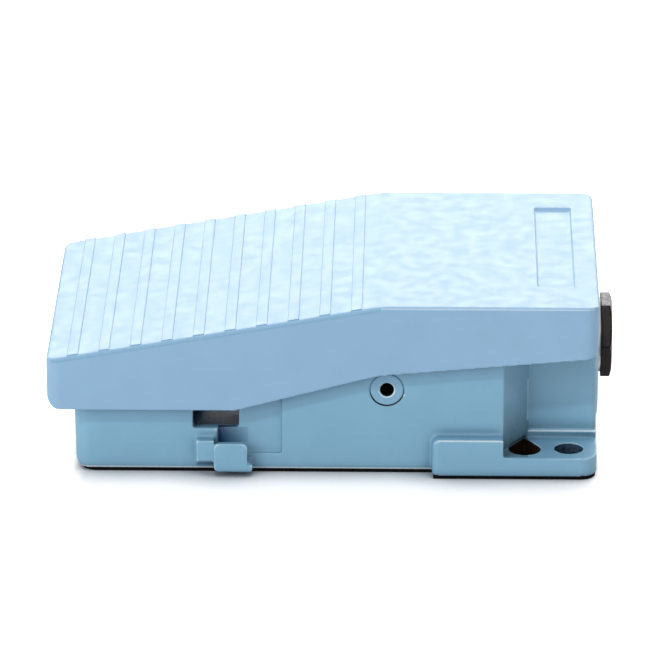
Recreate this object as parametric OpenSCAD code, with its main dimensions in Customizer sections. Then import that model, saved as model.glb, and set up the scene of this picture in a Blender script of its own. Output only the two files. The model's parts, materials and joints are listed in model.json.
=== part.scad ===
// Industrial foot switch: a rocker pedal on a cast housing with a sealed
// contact chamber, two cable entries and two fixing ears.
// X runs from the toe to the cable entries, Z is up, and the floor is Z = 0.
// Places along the part are given as distances from the toe.

/* [Pedal] */
// Length of the pedal, toe to rear face
pedal_l = 172; // [168:1:180]
// Width of the pedal
pedal_w = 104; // [100:1:112]
// Height of the flat rear top above the floor
pedal_top_z = 57.4; // [56:0.2:60]
// Slope of the tread in degrees
tread_slope = 10; // [9:0.5:11]
// Distance from the toe to the crest, where the tread meets the flat top
crest_from_toe = 104.3; // [100:0.5:108]
// Thickness of the skirt
skirt_wall = 3; // [2.5:0.1:3.5]
// Thickness of the pedal's top
pedal_skin = 3.5; // [3:0.1:4]
// Height of the skirt's edge at the toe
skirt_toe_z = 22.6; // [22:0.2:24]
// Distance from the toe to the bend where the skirt's edge starts to rise
skirt_bend_from_toe = 58.7; // [55:0.5:62]
// Distance from the toe to the knee where the skirt's edge flattens again
skirt_knee_from_toe = 103.1; // [98:0.5:106]
// Height of the skirt's edge at the knee
skirt_knee_z = 34.5; // [34:0.2:36]
// Height of the skirt's edge at the rear face
skirt_rear_z = 40.7; // [40.2:0.2:42]
// Radius of the upright corners of the pedal
pedal_corner_r = 4.5; // [3.5:0.5:7]
// Radius of the edges round the pedal's top
pedal_edge_r = 1.2; // [1:0.2:3]
// Turn of the pedal from rest to fully pressed, in degrees
pedal_travel = 8; // [6:0.5:8]

/* [Tread ribs] */
// Number of ribs across the tread
rib_count = 10; // [6:1:10]
// Distance from the toe to the first rib
rib_first_from_toe = 8.4; // [8:0.2:12]
// Distance from one rib to the next, along X
rib_pitch = 9.81; // [7:0.01:9.9]
// Height of a rib above the tread
rib_h = 0.9; // [0.4:0.1:1.4]
// Width of a rib at its foot
rib_foot_w = 4.2; // [3.4:0.1:5]
// Width of a rib at its top
rib_top_w = 2.4; // [1.6:0.1:3]

/* [Plate recess] */
// Length of the recess across the pedal
recess_l = 70.5; // [50:0.5:80]
// Width of the recess along X
recess_w = 11.7; // [8:0.1:13]
// Depth of the recess
recess_depth = 0.8; // [0.4:0.1:1.2]
// Distance from the recess to the pedal's rear face
recess_to_rear = 7.4; // [6:0.1:12]
// Distance from the pedal's middle to the recess's middle
recess_off_middle = 2; // [0:0.5:4]

/* [Pivot] */
// Distance from the toe to the pivot axis
pivot_from_toe = 106.1; // [104:0.5:110]
// Height of the pivot axis
pivot_z = 28; // [27:0.2:29]
// Diameter of a pivot pin
pin_d = 10; // [8:0.5:10.5]
// Diameter of the tapped hole in a pin's end
pin_tap_d = 4.2; // [3.3:0.1:5]
// Depth of the tapped hole
pin_tap_l = 10; // [7:0.5:12]
// Wall of a pivot bush
bush_wall = 1.5; // [1:0.1:2]

/* [Housing] */
// How far the side walls stand inside the pedal's sides
side_step = 5; // [4.5:0.1:6]
// Distance from the toe to the housing's front, at its top
housing_front = 8.2; // [7.8:0.1:11]
// How far the front's foot lies back, its draft
front_draft = 0.6; // [0.4:0.2:2]
// Distance from the pedal's rear face to the housing's rear face
housing_rear_gap = 0.2; // [0:0.1:2]
// Thickness of the outer walls
side_wall = 4; // [3.5:0.1:4.2]
// Thickness of the tray's floor
floor_t = 3; // [2.5:0.1:4]
// Distance of the front wall's top below the skirt's edge
front_wall_drop = 1.1; // [1:0.1:2]
// Height by which the side walls reach up behind the skirt
wall_behind_skirt = 2.5; // [1.5:0.1:3.5]
// Radius of the housing's upright front corners
housing_corner_r = 5; // [3:0.5:7]
// Radius of the housing's lower front edge
housing_foot_r = 3; // [1:0.5:4]

/* [Chamber] */
// Width of the channel beside the chamber, where a lug of the pedal runs
channel_w = 9.2; // [9:0.1:10]
// Distance of the step between low and high roof ahead of the pivot
roof_step_ahead = 8.1; // [7.5:0.1:9]
// Length of the low roof
low_roof_l = 32; // [31:0.2:33]
// Height of the chamber's low roof, under the push rod
low_roof_z = 31.9; // [31:0.1:32.5]
// Height of the chamber's high roof
high_roof_z = 38.9; // [38:0.1:39.2]
// Thickness of the chamber's walls and roof
chamber_wall = 3; // [2.6:0.1:3.4]

/* [Cable entries] */
// Distance between the two entries, as a share of the chamber's width
entry_pitch_share = 0.4734; // [0.46:0.002:0.49]
// Height of the entries
entry_z = 22.1; // [21:0.1:22.8]
// Core diameter of an entry's thread
entry_d = 21.2; // [18:0.1:21.6]
// Length of the threaded wall
entry_l = 12; // [9:0.5:13]
// Diameter of the boss round an entry
entry_boss_d = 27; // [25:0.5:28]
// Height of the boss's machined face over the rear wall
entry_face_h = 0.6; // [0.2:0.1:1.2]

/* [Blanking plug] */
// Width over the flats of the plug's head
plug_flats = 24; // [22:0.5:27]
// Thickness of the plug's head
plug_head_t = 3.6; // [2.6:0.1:5]
// Turn of the tightened head from upright, in degrees
plug_turn = 4; // [0:1:29]
// Thickness of the sealing washer
plug_washer_t = 1.8; // [1:0.1:2.4]
// Length of the plug's shank inside the wall
plug_shank_l = 9; // [6:0.5:11]

/* [Ears] */
// Length of an ear, up to the rear face
ear_l = 51.5; // [48:0.5:54]
// Length of the alcove, up to the rear face
alcove_l = 29.3; // [28.5:0.1:31]
// Length of the alcove's slanted wall, along X
alcove_slant_l = 7.9; // [6:0.1:8.4]
// Height of the raised block in front of the alcove
ear_block_z = 12.95; // [10:0.05:16]
// Height of the flange
flange_z = 7.2; // [6.6:0.1:9]
// Height of the plinth along the alcove's foot
plinth_h = 2.3; // [1:0.1:4]
// Depth of that plinth
plinth_t = 0.8; // [0.4:0.1:1]
// Diameter of the round fixing hole
fix_hole_d = 9; // [7:0.1:9.4]
// Distance from the rear face to the round fixing hole
fix_hole_to_rear = 8.7; // [8:0.1:9.6]
// Distance from the ear's side to the round fixing hole
fix_hole_to_side = 8.7; // [8:0.1:9.5]
// Diameter of the drop-shaped fixing hole
drop_hole_d = 10; // [8:0.1:10.4]
// Distance from the rear face to the drop-shaped hole
drop_hole_to_rear = 22.5; // [21:0.1:22.8]
// Distance from the ear's side to the drop-shaped hole
drop_hole_to_side = 8.1; // [7.5:0.1:9]

/* [Side windows and hooks] */
// Distance from the toe to the side window
window_front = 45.5; // [42:0.5:47]
// Length of the window
window_l = 14.4; // [11:0.1:16]
// Height of the window's sill
window_sill_z = 14.6; // [14:0.1:17]
// Distance from the toe to the recessed panel
panel_front = 53.1; // [52.6:0.1:55]
// Length of the recessed panel
panel_l = 20.2; // [15:0.2:21]
// Height of the panel's lower edge
panel_z = 6.3; // [6:0.1:8]
// Depth of the recessed panel
panel_depth = 1.3; // [0.5:0.1:1.6]
// Distance from the toe to the large hook
hook_front = 52.1; // [51:0.1:52.5]
// Length of the large hook
hook_l = 10.5; // [8:0.1:11]
// Height of the large hook's top
hook_top_z = 11.2; // [10:0.1:12]
// Thickness of the large hook's plate
hook_t = 1.8; // [1.2:0.1:2.2]
// How far the large hook stands out of the wall
hook_reach = 4.8; // [4:0.1:5]
// Distance from the toe to the small hook
small_hook_front = 46.6; // [44:0.1:48]
// Height of the small hook's top
small_hook_top_z = 11.8; // [10:0.1:12.4]
// How far the small hook stands out of the wall
small_hook_reach = 3.5; // [2:0.1:4]

/* [Base] */
// Thickness of the base plate
base_t = 1.2; // [1:0.1:2]
// How far the base plate lies inside the housing's outline
base_inset = 0.4; // [0.2:0.1:2]
// How far the base plate's front lies behind the housing's foot
base_front_inset = 1.9; // [1:0.1:2.4]
// Thickness of the gasket
gasket_t = 1; // [0.6:0.1:1.2]
// Width of the gasket
gasket_w = 1.6; // [1:0.1:1.8]
// Diameter of a base plate screw
base_screw_d = 4; // [3:0.1:4.4]
// Length of a base plate screw
base_screw_l = 9; // [7:0.5:10]

/* [Contact mechanism] */
// Distance of the push rod ahead of the pivot
rod_arm = 22; // [21:0.2:23]
// Diameter of the push rod
rod_d = 5; // [4:0.1:5.4]
// Diameter of the push rod's cap
rod_cap_d = 9; // [8:0.2:10]
// Thickness of the push rod's cap
rod_cap_t = 1.5; // [1:0.1:2]
// Length of the contact block
block_l = 27; // [24:0.5:27.4]
// Width of the contact block, as a share of the chamber's inner width
block_w_share = 0.487; // [0.42:0.005:0.5]
// Height of the contact block
block_h = 18; // [16:0.5:18.4]
// Diameter of the contact plunger
plunger_d = 4.8; // [4:0.1:5]
// Diameter of the striker screw
striker_d = 6; // [5:0.1:6.4]

/* [Return spring] */
// Distance from the toe to the return spring
spring_from_toe = 36; // [34:0.5:38]
// Mean diameter of the return spring
spring_mean_d = 16; // [14:0.5:17]
// Diameter of the spring's wire
spring_wire_d = 2; // [1.4:0.1:2.2]
// Number of turns
spring_turns = 9; // [7:1:10]

/* [Hidden] */
// Overrun of every cut past the face that it opens
over = 1;
// Radial clearance of a pin, a screw or a rod in its hole
fit_gap = 0.05;
// Clearance between a part and the seat that it meets
seat_gap = 0.3;
// Steps in the round corners of an outline
arc_steps = 6;
// Number of facets that stands for a true circle
$fn = 48;

// Overall length over the pedal and the plug
rear_from_toe = pedal_l - housing_rear_gap;
overall_l = rear_from_toe + entry_face_h + plug_washer_t + plug_head_t;
toe_x = -overall_l/2;
rear_x = toe_x + rear_from_toe;
pivot_x = toe_x + pivot_from_toe;
crest_x = toe_x + crest_from_toe;
housing_top_front_z = skirt_toe_z - front_wall_drop;
floor_z = base_t + floor_t;

// Widths that follow the pedal's width: the ears end flush with its sides
ear_w = pedal_w;
housing_w = pedal_w - 2*side_step;
chamber_w = housing_w - 2*(side_wall + channel_w);
room_w = chamber_w - 2*chamber_wall;
entry_pitch = chamber_w*entry_pitch_share;
block_w = room_w*block_w_share;
fix_hole_pitch = ear_w - 2*fix_hole_to_side;
drop_hole_pitch = ear_w - 2*drop_hole_to_side;

// Places that follow the pivot or the rear face
roof_step = pivot_from_toe - roof_step_ahead;
chamber_front = roof_step - low_roof_l;
ear_front = rear_from_toe - ear_l;
alcove_front = rear_from_toe - alcove_l;
alcove_corner = alcove_front + alcove_slant_l;
fix_hole_x = rear_from_toe - fix_hole_to_rear;
drop_hole_x = rear_from_toe - drop_hole_to_rear;

// Blends of the pedal's side outline
toe_lower_r = 4;
rear_lower_r = 3.5;
crest_r = 36;
bend_r = 5;
knee_r = 40;

// Pedal lugs, in the channels between the side walls and the chamber
channel_in = chamber_w/2;
channel_out = housing_w/2 - side_wall;
bush_end_gap = 0.2;
lug_end_gap = 1.1;
bush_r = pin_d/2 + fit_gap + bush_wall;
lug_wall = 3;
lug_boss_r = bush_r + lug_wall;
lug_root_l = 34;
pin_inset = 0.1;
pin_seat_l = 4.4;
pin_boss_wall = 3.2;
pin_chamfer = 0.5;
ring_chamfer = 0.4;

// Head of the blanking plug
plug_face_share = 0.97;
plug_chamfer = 30;
plug_shank_wall = 1.6;

// Stiffening ribs and bosses under the pedal
brace_t = 2.5;
brace_share = 0.192;
brace_depth = 5;
brace_y = pedal_w*brace_share;
brace_front = 22;
brace_rear = pedal_l - brace_front;
brace_cross_front = 58;
brace_cross_to_rear = 50;
brace_cross = [brace_cross_front, pedal_l - brace_cross_to_rear];
rod_x = pivot_x - rod_arm;
striker_tip_z = 43.3;
striker_nut_t = 3;
striker_nut_flats = 10;
striker_nut_drop = 1.6;
striker_boss_r = 6.5;
striker_thread_l = 4;
spring_x = toe_x + spring_from_toe;
spring_seat_rim = 3;
spring_seat_r = spring_mean_d/2 + spring_seat_rim;
spring_seat_drop = 2;
spring_core_gap = 0.7;
spring_core_r = spring_mean_d/2 - spring_wire_d/2 - spring_core_gap;
spring_core_l = 3.5;
spring_cup_h = 2.4;
spring_cup_wall = 1.6;
spring_cup_gap = 0.8;

// Stop pads: the two end stops in the tray and the two rest stops on the roof
pad_r = 5;
pad_t = 3;
end_pad_from_toe = 27;
end_pad_share = 0.319;
end_pad_y = housing_w*end_pad_share;
rest_pad_to_rear = 17.8;
rest_pad_from_toe = rear_from_toe - rest_pad_to_rear;
rest_pad_share = 0.266;
rest_pad_y = chamber_w*rest_pad_share;
rest_boss_r = 6;

// Screw bosses
screw_boss_r = 4;
screw_boss_z = 12.5;
screw_boss_end = 1;
screw_core_share = 0.42;
screw_head_share = 0.95;
screw_head_gap = 0.1;
tray_screw_inset = 3.5;
chamber_screw_inset = 3.4;
slot_w = 0.9;
slot_depth = 1.1;

// Contact mechanism
rod_bottom_z = 25.3;
guide_thread_r = 6;
guide_flats = 17;
guide_flange_h = 2.5;
guide_drop = 1.5;
guide_spigot_h = 1.6;
guide_spigot_wall = 1.6;
ring_tube_r = 0.65;
ring_mean_r = 7.2;
boot_wall = 0.9;
boot_folds = 3;
boot_fold_depth = 2;
block_z = 6;
shelf_l = 7;
shelf_h = 6;
block_rib_t = 4;
plunger_rise = 1;
plunger_l = 8;
plunger_bore_floor = 2;
plunger_spring_d = 3.4;
plunger_wire_d = 0.5;
plunger_spring_turns = 6;
ear_tab_t = 4;
ear_tab_l = 10;
ear_tab_reach = 7.5;
rod_room_depth = 3;
block_screw_d = 4;
block_screw_l = 9.4;
pan_head_share = 0.9;
pan_head_h = 2.4;
block_screw_y = block_w/2 + block_screw_d*pan_head_share + seat_gap;
clamp_t = 1;
clamp_l = 6;
clamp_w_share = 0.267;
clamp_w = block_w*clamp_w_share;
terminal_screw_d = 3;
terminal_screw_l = 6;
terminal_share = 0.287;
terminal_y = block_w*terminal_share;
earth_to_rear = 41.8;
earth_x = rear_x - earth_to_rear;
earth_share = 0.292;
earth_y = room_w*earth_share;
earth_boss_r = 5;
earth_boss_z = 20;
earth_clamp_w = 9;
earth_clamp_t = 1.5;
earth_screw_d = 4;
earth_screw_l = 11;

// Hooks and window
hook_foot_l = 1.5;
hook_foot_h = 2.3;
hook_bottom_z = 1.7;
hook_web_h = 2.8;
hook_corner_r = 1.6;
small_hook_bottom_z = 2.6;
small_hook_ramp_h = 2.4;

// Ears
ear_front_r = 2;
ear_rear_r = 5;
ear_block_r = 2.5;
hole_margin = 0.6;
// The drop's point reaches the foot of the plinth
drop_point_y = chamber_w/2 + plinth_t;

// Height of the tread's surface at a distance from the toe
function tread_z(from_toe) = pedal_top_z - max(crest_from_toe - from_toe, 0)*tan(tread_slope);
// Height of the skirt's rear edge line at a distance from the toe
function skirt_z(from_toe) = skirt_knee_z
    + (skirt_rear_z - skirt_knee_z)*(from_toe - skirt_knee_from_toe)/(pedal_l - skirt_knee_from_toe);
// Height of the pedal's underside at a distance from the toe
function under_z(from_toe) = tread_z(from_toe)
    - (from_toe < crest_from_toe ? pedal_skin/cos(tread_slope) : pedal_skin);

// A point of the side view turned with the pedal to its pressed position
function pressed(p) = let (dx = p.x - pivot_x, dz = p.y - pivot_z)
    [pivot_x + dx*cos(pedal_travel) - dz*sin(pedal_travel),
     pivot_z + dx*sin(pedal_travel) + dz*cos(pedal_travel)];
// Height of the pressed pedal's underside over a place of the tray
function pressed_under_z(x) = let (p = pressed([crest_x, under_z(crest_from_toe)]))
    p.y + (x - p.x)*tan(tread_slope + pedal_travel);

// Outline with round corners: each corner has its own radius
function unit(v) = v/norm(v);
function corner(p, a, b, r) =
    let (u = unit(a - p), v = unit(b - p), half = acos(u*v)/2)
    let (c = p + unit(u + v)*(r/sin(half)), s = p + u*(r/tan(half)), f = p + v*(r/tan(half)))
    let (a0 = atan2(s.y - c.y, s.x - c.x), a1 = atan2(f.y - c.y, f.x - c.x))
    let (turn = (a1 - a0 + 540) % 360 - 180)
    [for (i = [0:arc_steps]) c + r*[cos(a0 + turn*i/arc_steps), sin(a0 + turn*i/arc_steps)]];
function rounded(pts, radii) = let (n = len(pts))
    [for (i = [0:n - 1]) each radii[i] == 0 ? [pts[i]]
        : corner(pts[i], pts[(i + n - 1) % n], pts[(i + 1) % n], radii[i])];

// A side view outline, given in X and Z, made as wide as asked
module along_y(pts, w) {
    rotate([90, 0, 0]) linear_extrude(height = w, center = true) polygon(pts);
}

// A plan outline standing from one height to another
module standing(pts, low, high) {
    translate([0, 0, low]) linear_extrude(height = high - low) polygon(pts);
}

// A box between two corners
module box(a, b) {
    translate(a) cube(b - a);
}

// A cylinder along Y, from one side to the other
module rod_y(x, z, r, from, to) {
    translate([x, from, z]) rotate([-90, 0, 0]) cylinder(r = r, h = to - from);
}

// A cylinder along X
module rod_x_way(y, z, r, from, to) {
    translate([from, y, z]) rotate([0, 90, 0]) cylinder(r = r, h = to - from);
}

// The near side's shape and its mirror image
module both_sides() {
    children();
    mirror([0, 1, 0]) children();
}

// A plan rectangle with its own radius at the front and the rear corners
function plan_rect(x0, x1, w, r0, r1) =
    rounded([[x0, -w/2], [x1, -w/2], [x1, w/2], [x0, w/2]], [r0, r1, r1, r0]);

// A wound wire: one unbroken tube that climbs round an upright axis
module wound_wire(mean_r, wire_r, low, high, turns) {
    sides = 6;
    per_turn = 8;
    rings = turns*per_turn;
    points = [for (i = [0:rings]) each [for (j = [0:sides - 1])
        let (a = 360*i/per_turn, b = 360*j/sides, r = mean_r + wire_r*cos(b))
        [r*cos(a), r*sin(a), low + wire_r + (high - low - 2*wire_r)*i/rings + wire_r*sin(b)]]];
    walls = [for (i = [0:rings - 1]) each [for (j = [0:sides - 1])
        let (k = (j + 1) % sides, low_ring = i*sides, high_ring = low_ring + sides) each [
            [low_ring + j, low_ring + k, high_ring + k],
            [low_ring + j, high_ring + k, high_ring + j]]]];
    first = [for (j = [sides - 1:-1:0]) j];
    last = [for (j = [0:sides - 1]) rings*sides + j];
    polyhedron(points = points, faces = concat(walls, [first, last]));
}

// A pan head screw that points up from its head, with a slot
module pan_screw(d, l, head_h, slot = true) {
    difference() {
        union() {
            cylinder(r = d/2, h = l);
            translate([0, 0, -head_h]) cylinder(r = d*pan_head_share, h = head_h);
        }
        if (slot)
            translate([0, 0, -head_h]) cube([2*d, slot_w, slot_depth*2], center = true);
    }
}

// Pedal

// A bar as wide as the pedal with round upper edges, its top along the X axis
module top_bar(drop) {
    half = pedal_l + crest_from_toe;
    translate([-half, 0, 0]) rotate([90, 0, 90]) linear_extrude(height = 2*half)
        polygon(rounded([[-pedal_w/2, -drop], [pedal_w/2, -drop], [pedal_w/2, 0], [-pedal_w/2, 0]],
            [0, 0, pedal_edge_r, pedal_edge_r]));
}

// The tread's bar, raised by a rib's height where the ribs are cut out of it
module tread_bar(lift) {
    translate([crest_x, 0, pedal_top_z]) rotate([0, -tread_slope, 0]) translate([0, 0, lift])
        top_bar(2*pedal_top_z);
}

module pedal_plan(inset, low, high) {
    standing(plan_rect(toe_x + inset, toe_x + pedal_l - inset, pedal_w - 2*inset,
        pedal_corner_r - inset, pedal_corner_r - inset), low, high);
}

// The pedal's outer form, closed below along the skirt's edge
module pedal_envelope() {
    outline = [
        [toe_x, skirt_toe_z], [toe_x + skirt_bend_from_toe, skirt_toe_z],
        [toe_x + skirt_knee_from_toe, skirt_knee_z], [toe_x + pedal_l, skirt_rear_z],
        [toe_x + pedal_l, pedal_top_z], [crest_x, pedal_top_z], [toe_x, tread_z(0)]];
    radii = [toe_lower_r, bend_r, knee_r, rear_lower_r, pedal_edge_r, crest_r, pedal_edge_r];
    intersection() {
        along_y(rounded(outline, radii), pedal_w);
        pedal_plan(0, 0, pedal_top_z + over);
        tread_bar(0);
        translate([0, 0, pedal_top_z]) top_bar(2*pedal_top_z);
    }
}

// The space under the pedal's top, inside the skirt
module pedal_hollow() {
    low = skirt_toe_z - over;
    intersection() {
        along_y([
            [toe_x, low], [toe_x + pedal_l, low], [toe_x + pedal_l, pedal_top_z - pedal_skin],
            [crest_x, pedal_top_z - pedal_skin], [crest_x, under_z(crest_from_toe - fit_gap)],
            [toe_x, under_z(0)]], pedal_w);
        pedal_plan(skirt_wall, low, pedal_top_z);
    }
}

module tread_ribs() {
    intersection() {
        for (i = [0:rib_count - 1]) {
            from_toe = rib_first_from_toe + i*rib_pitch;
            translate([toe_x + from_toe, 0, tread_z(from_toe)]) rotate([0, -tread_slope, 0])
                along_y([[-rib_foot_w/2, 0], [-rib_foot_w/2, -pedal_skin/2], [rib_foot_w/2, -pedal_skin/2],
                    [rib_foot_w/2, 0], [rib_top_w/2, rib_h], [-rib_top_w/2, rib_h]], pedal_w);
        }
        tread_bar(rib_h);
        pedal_plan(0, 0, pedal_top_z + rib_h);
    }
}

// One lug of the pedal with its round end at the pivot
module pedal_lug() {
    y0 = channel_in + lug_end_gap;
    y1 = channel_out - lug_end_gap;
    top = pedal_top_z - pedal_skin/2;
    rod_y(pivot_x, pivot_z, lug_boss_r, y0, y1);
    translate([0, (y0 + y1)/2, 0]) along_y([
        [pivot_x - lug_boss_r, pivot_z], [pivot_x + lug_boss_r, pivot_z],
        [pivot_x + lug_root_l/2, top], [pivot_x - lug_root_l/2, tread_z(pivot_from_toe - lug_root_l/2)
            - pedal_skin/2]], y1 - y0);
}

// Stiffening ribs on the pedal's underside
module pedal_braces() {
    for (side = [-1, 1])
        translate([0, side*brace_y, 0]) along_y([
            [toe_x + brace_front, under_z(brace_front) - brace_depth],
            [crest_x, under_z(crest_from_toe) - brace_depth],
            [toe_x + brace_rear, pedal_top_z - pedal_skin - brace_depth],
            [toe_x + brace_rear, pedal_top_z - pedal_skin/2], [crest_x, pedal_top_z - pedal_skin/2],
            [toe_x + brace_front, tread_z(brace_front) - pedal_skin/2]], brace_t);
    for (from_toe = brace_cross)
        box([toe_x + from_toe, -pedal_w/2 + skirt_wall/2, under_z(from_toe) - brace_depth],
            [toe_x + from_toe + brace_t, pedal_w/2 - skirt_wall/2, tread_z(from_toe) - pedal_skin/2]);
}

// A round boss that hangs from the pedal's top down to a height
module pedal_boss(x, y, r, low) {
    from_toe = x - toe_x;
    translate([x, y, low]) cylinder(r = r, h = tread_z(from_toe - r) - pedal_skin/2 - low);
}

striker_boss_z = striker_tip_z + striker_nut_drop + striker_nut_t;
spring_top_z = under_z(spring_from_toe - spring_mean_d/2) - spring_seat_drop;
rest_pad_z = high_roof_z + pad_t;

module pedal() {
    recess_x = toe_x + pedal_l - recess_to_rear - recess_w;
    color("lightskyblue") difference() {
        union() {
            difference() {
                pedal_envelope();
                pedal_hollow();
            }
            tread_ribs();
            pedal_braces();
            both_sides() pedal_lug();
            pedal_boss(rod_x, 0, striker_boss_r, striker_boss_z);
            pedal_boss(spring_x, 0, spring_seat_r, spring_top_z);
            pedal_boss(spring_x, 0, spring_core_r, spring_top_z - spring_core_l);
            both_sides() pedal_boss(toe_x + rest_pad_from_toe, rest_pad_y, rest_boss_r,
                rest_pad_z + seat_gap);
        }
        translate([0, recess_off_middle, 0])
            box([recess_x, -recess_l/2, pedal_top_z - recess_depth],
                [recess_x + recess_w, recess_l/2, pedal_top_z + over]);
        rod_y(pivot_x, pivot_z, bush_r + fit_gap, -housing_w/2, housing_w/2);
        translate([rod_x, 0, striker_boss_z - over])
            cylinder(r = striker_d/2 + fit_gap, h = over + striker_thread_l);
    }
}

module pivot_bushes() {
    y0 = channel_in + bush_end_gap;
    y1 = channel_out - bush_end_gap;
    color("darkgoldenrod") both_sides() difference() {
        rod_y(pivot_x, pivot_z, bush_r, y0, y1);
        rod_y(pivot_x, pivot_z, pin_d/2 + fit_gap, y0 - over, y1 + over);
    }
}

module striker_screw() {
    tip_r = striker_d/2;
    color("silver") translate([rod_x, 0, 0]) intersection() {
        translate([0, 0, striker_tip_z])
            cylinder(r = tip_r, h = striker_boss_z - striker_tip_z + striker_thread_l - seat_gap);
        translate([0, 0, striker_tip_z + 2*striker_d]) sphere(r = 2*striker_d);
    }
}

module striker_nut() {
    color("silver") translate([rod_x, 0, striker_boss_z - striker_nut_t]) difference() {
        cylinder(r = striker_nut_flats/2/cos(30), h = striker_nut_t, $fn = 6);
        translate([0, 0, -over]) cylinder(r = striker_d/2 + fit_gap, h = striker_nut_t + 2*over);
    }
}

// Housing

// The walls' outer form: drafted front, and a top that follows the skirt
module wall_block() {
    outline = [
        [toe_x + housing_front + front_draft, base_t], [toe_x + alcove_front, base_t],
        [toe_x + alcove_front, skirt_z(alcove_front) + wall_behind_skirt],
        [toe_x + skirt_knee_from_toe, skirt_knee_z + wall_behind_skirt],
        [toe_x + skirt_bend_from_toe, housing_top_front_z], [toe_x + housing_front, housing_top_front_z]];
    intersection() {
        along_y(rounded(outline, [housing_foot_r, 0, 0, knee_r, knee_r, 0]), housing_w);
        standing(plan_rect(toe_x + housing_front, toe_x + alcove_front, housing_w, housing_corner_r, 0),
            0, pedal_top_z);
    }
}

module tray_space() {
    inner_r = housing_corner_r - side_wall;
    standing(plan_rect(toe_x + housing_front + side_wall, toe_x + alcove_front + over,
        housing_w - 2*side_wall, inner_r, 0), floor_z, pedal_top_z);
}

module chamber_block() {
    standing(plan_rect(toe_x + chamber_front, toe_x + roof_step + chamber_wall, chamber_w, ear_front_r, 0),
        base_t, low_roof_z);
    standing(plan_rect(toe_x + roof_step, rear_x, chamber_w, 0, ear_front_r), base_t, high_roof_z);
}

module chamber_space() {
    box([toe_x + chamber_front + chamber_wall, -room_w/2, base_t - over],
        [rear_x - chamber_wall, room_w/2, low_roof_z - chamber_wall]);
    box([toe_x + roof_step + chamber_wall, -room_w/2, base_t - over],
        [rear_x - chamber_wall, room_w/2, high_roof_z - chamber_wall]);
}

// The slanted wall between a side wall and the chamber, at the alcove
module alcove_wall() {
    root = chamber_w/2 - chamber_wall/2;
    standing([
        [toe_x + alcove_front, housing_w/2], [toe_x + alcove_corner, chamber_w/2 + plinth_t],
        [toe_x + alcove_corner, root], [toe_x + alcove_corner - chamber_wall, root],
        [toe_x + alcove_front - side_wall, housing_w/2 - side_wall],
        [toe_x + alcove_front - side_wall, housing_w/2]], base_t, skirt_z(alcove_front) + wall_behind_skirt);
}

// One ear: flange, raised block and the plinth at the alcove's foot
module ear() {
    root = chamber_w/2 - chamber_wall/2;
    outline = rounded([
        [toe_x + ear_front, housing_w/2 - side_wall], [rear_x, root], [rear_x, ear_w/2],
        [toe_x + ear_front, ear_w/2]], [0, 0, ear_rear_r, ear_front_r]);
    standing([
        [toe_x + ear_front, root], [rear_x, root], [rear_x, ear_w/2 - ear_rear_r],
        [toe_x + ear_front, ear_w/2 - ear_rear_r]], base_t, flange_z);
    standing(outline, base_t, flange_z);
    intersection() {
        standing(outline, base_t, ear_block_z);
        along_y(rounded([
            [toe_x + ear_front, base_t], [toe_x + alcove_front, base_t],
            [toe_x + alcove_front, ear_block_z], [toe_x + ear_front, ear_block_z]],
            [0, 0, 0, ear_block_r]), ear_w + over);
        box([toe_x, housing_w/2 - side_wall, 0], [rear_x, ear_w, pedal_top_z]);
    }
    box([toe_x + alcove_corner - chamber_wall, root, base_t],
        [rear_x, chamber_w/2 + plinth_t, flange_z + plinth_h]);
}

// The hooks that hold an accessory cover, on one side wall
module hooks() {
    wall_y = housing_w/2;
    root = wall_y - side_wall/2;
    x0 = toe_x + hook_front;
    plate = rounded([
        [x0, hook_bottom_z], [x0 + hook_l + hook_foot_l, hook_bottom_z],
        [x0 + hook_l + hook_foot_l, hook_bottom_z + hook_foot_h],
        [x0 + hook_l, hook_bottom_z + hook_foot_h], [x0 + hook_l, hook_top_z], [x0, hook_top_z]],
        [hook_corner_r, hook_foot_h/3, 0, 0, hook_corner_r, hook_corner_r]);
    translate([0, wall_y + hook_reach - hook_t/2, 0]) along_y(plate, hook_t);
    box([x0 + hook_corner_r, root, hook_bottom_z],
        [x0 + hook_l + hook_foot_l/2, wall_y + hook_reach - hook_t/2, hook_bottom_z + hook_web_h]);
    translate([toe_x + small_hook_front, 0, 0]) rotate([90, 0, 90])
        linear_extrude(height = hook_front - small_hook_front) polygon([
            [root, small_hook_bottom_z], [wall_y, small_hook_bottom_z],
            [wall_y + small_hook_reach, small_hook_bottom_z + small_hook_ramp_h],
            [wall_y + small_hook_reach, small_hook_top_z], [root, small_hook_top_z]]);
}

// The recessed panel and the window cut into one side wall
module side_cuts() {
    box([toe_x + panel_front, housing_w/2 - panel_depth, panel_z],
        [toe_x + panel_front + panel_l, housing_w/2 + hook_reach - hook_t, pedal_top_z]);
    box([toe_x + window_front, housing_w/2 - side_wall - over, window_sill_z],
        [toe_x + window_front + window_l, housing_w/2 + over, pedal_top_z]);
}

// The drop-shaped hole: a circle and two tangents to a point
module drop_hole() {
    r = drop_hole_d/2;
    reach = drop_hole_pitch/2 - drop_point_y;
    touch = acos(r/reach);
    translate([toe_x + drop_hole_x, drop_hole_pitch/2, 0]) {
        cylinder(r = r, h = flange_z + over);
        linear_extrude(height = flange_z + over) polygon([
            [0, 0], [r*sin(touch), -r*cos(touch)], [0, -reach], [-r*sin(touch), -r*cos(touch)]]);
    }
}

// Places of the base plate's screws: two in the tray, four in the chamber
function tray_screw_places() = [for (side = [-1, 1]) [
    toe_x + housing_front + side_wall + tray_screw_inset,
    side*(housing_w/2 - side_wall - tray_screw_inset)]];

function chamber_screw_places() = [
    for (side = [-1, 1], x = [toe_x + chamber_front + chamber_wall + chamber_screw_inset,
            rear_x - chamber_wall - chamber_screw_inset])
        [x, side*(room_w/2 - chamber_screw_inset)]];

function base_screw_places() = concat(tray_screw_places(), chamber_screw_places());

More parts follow.
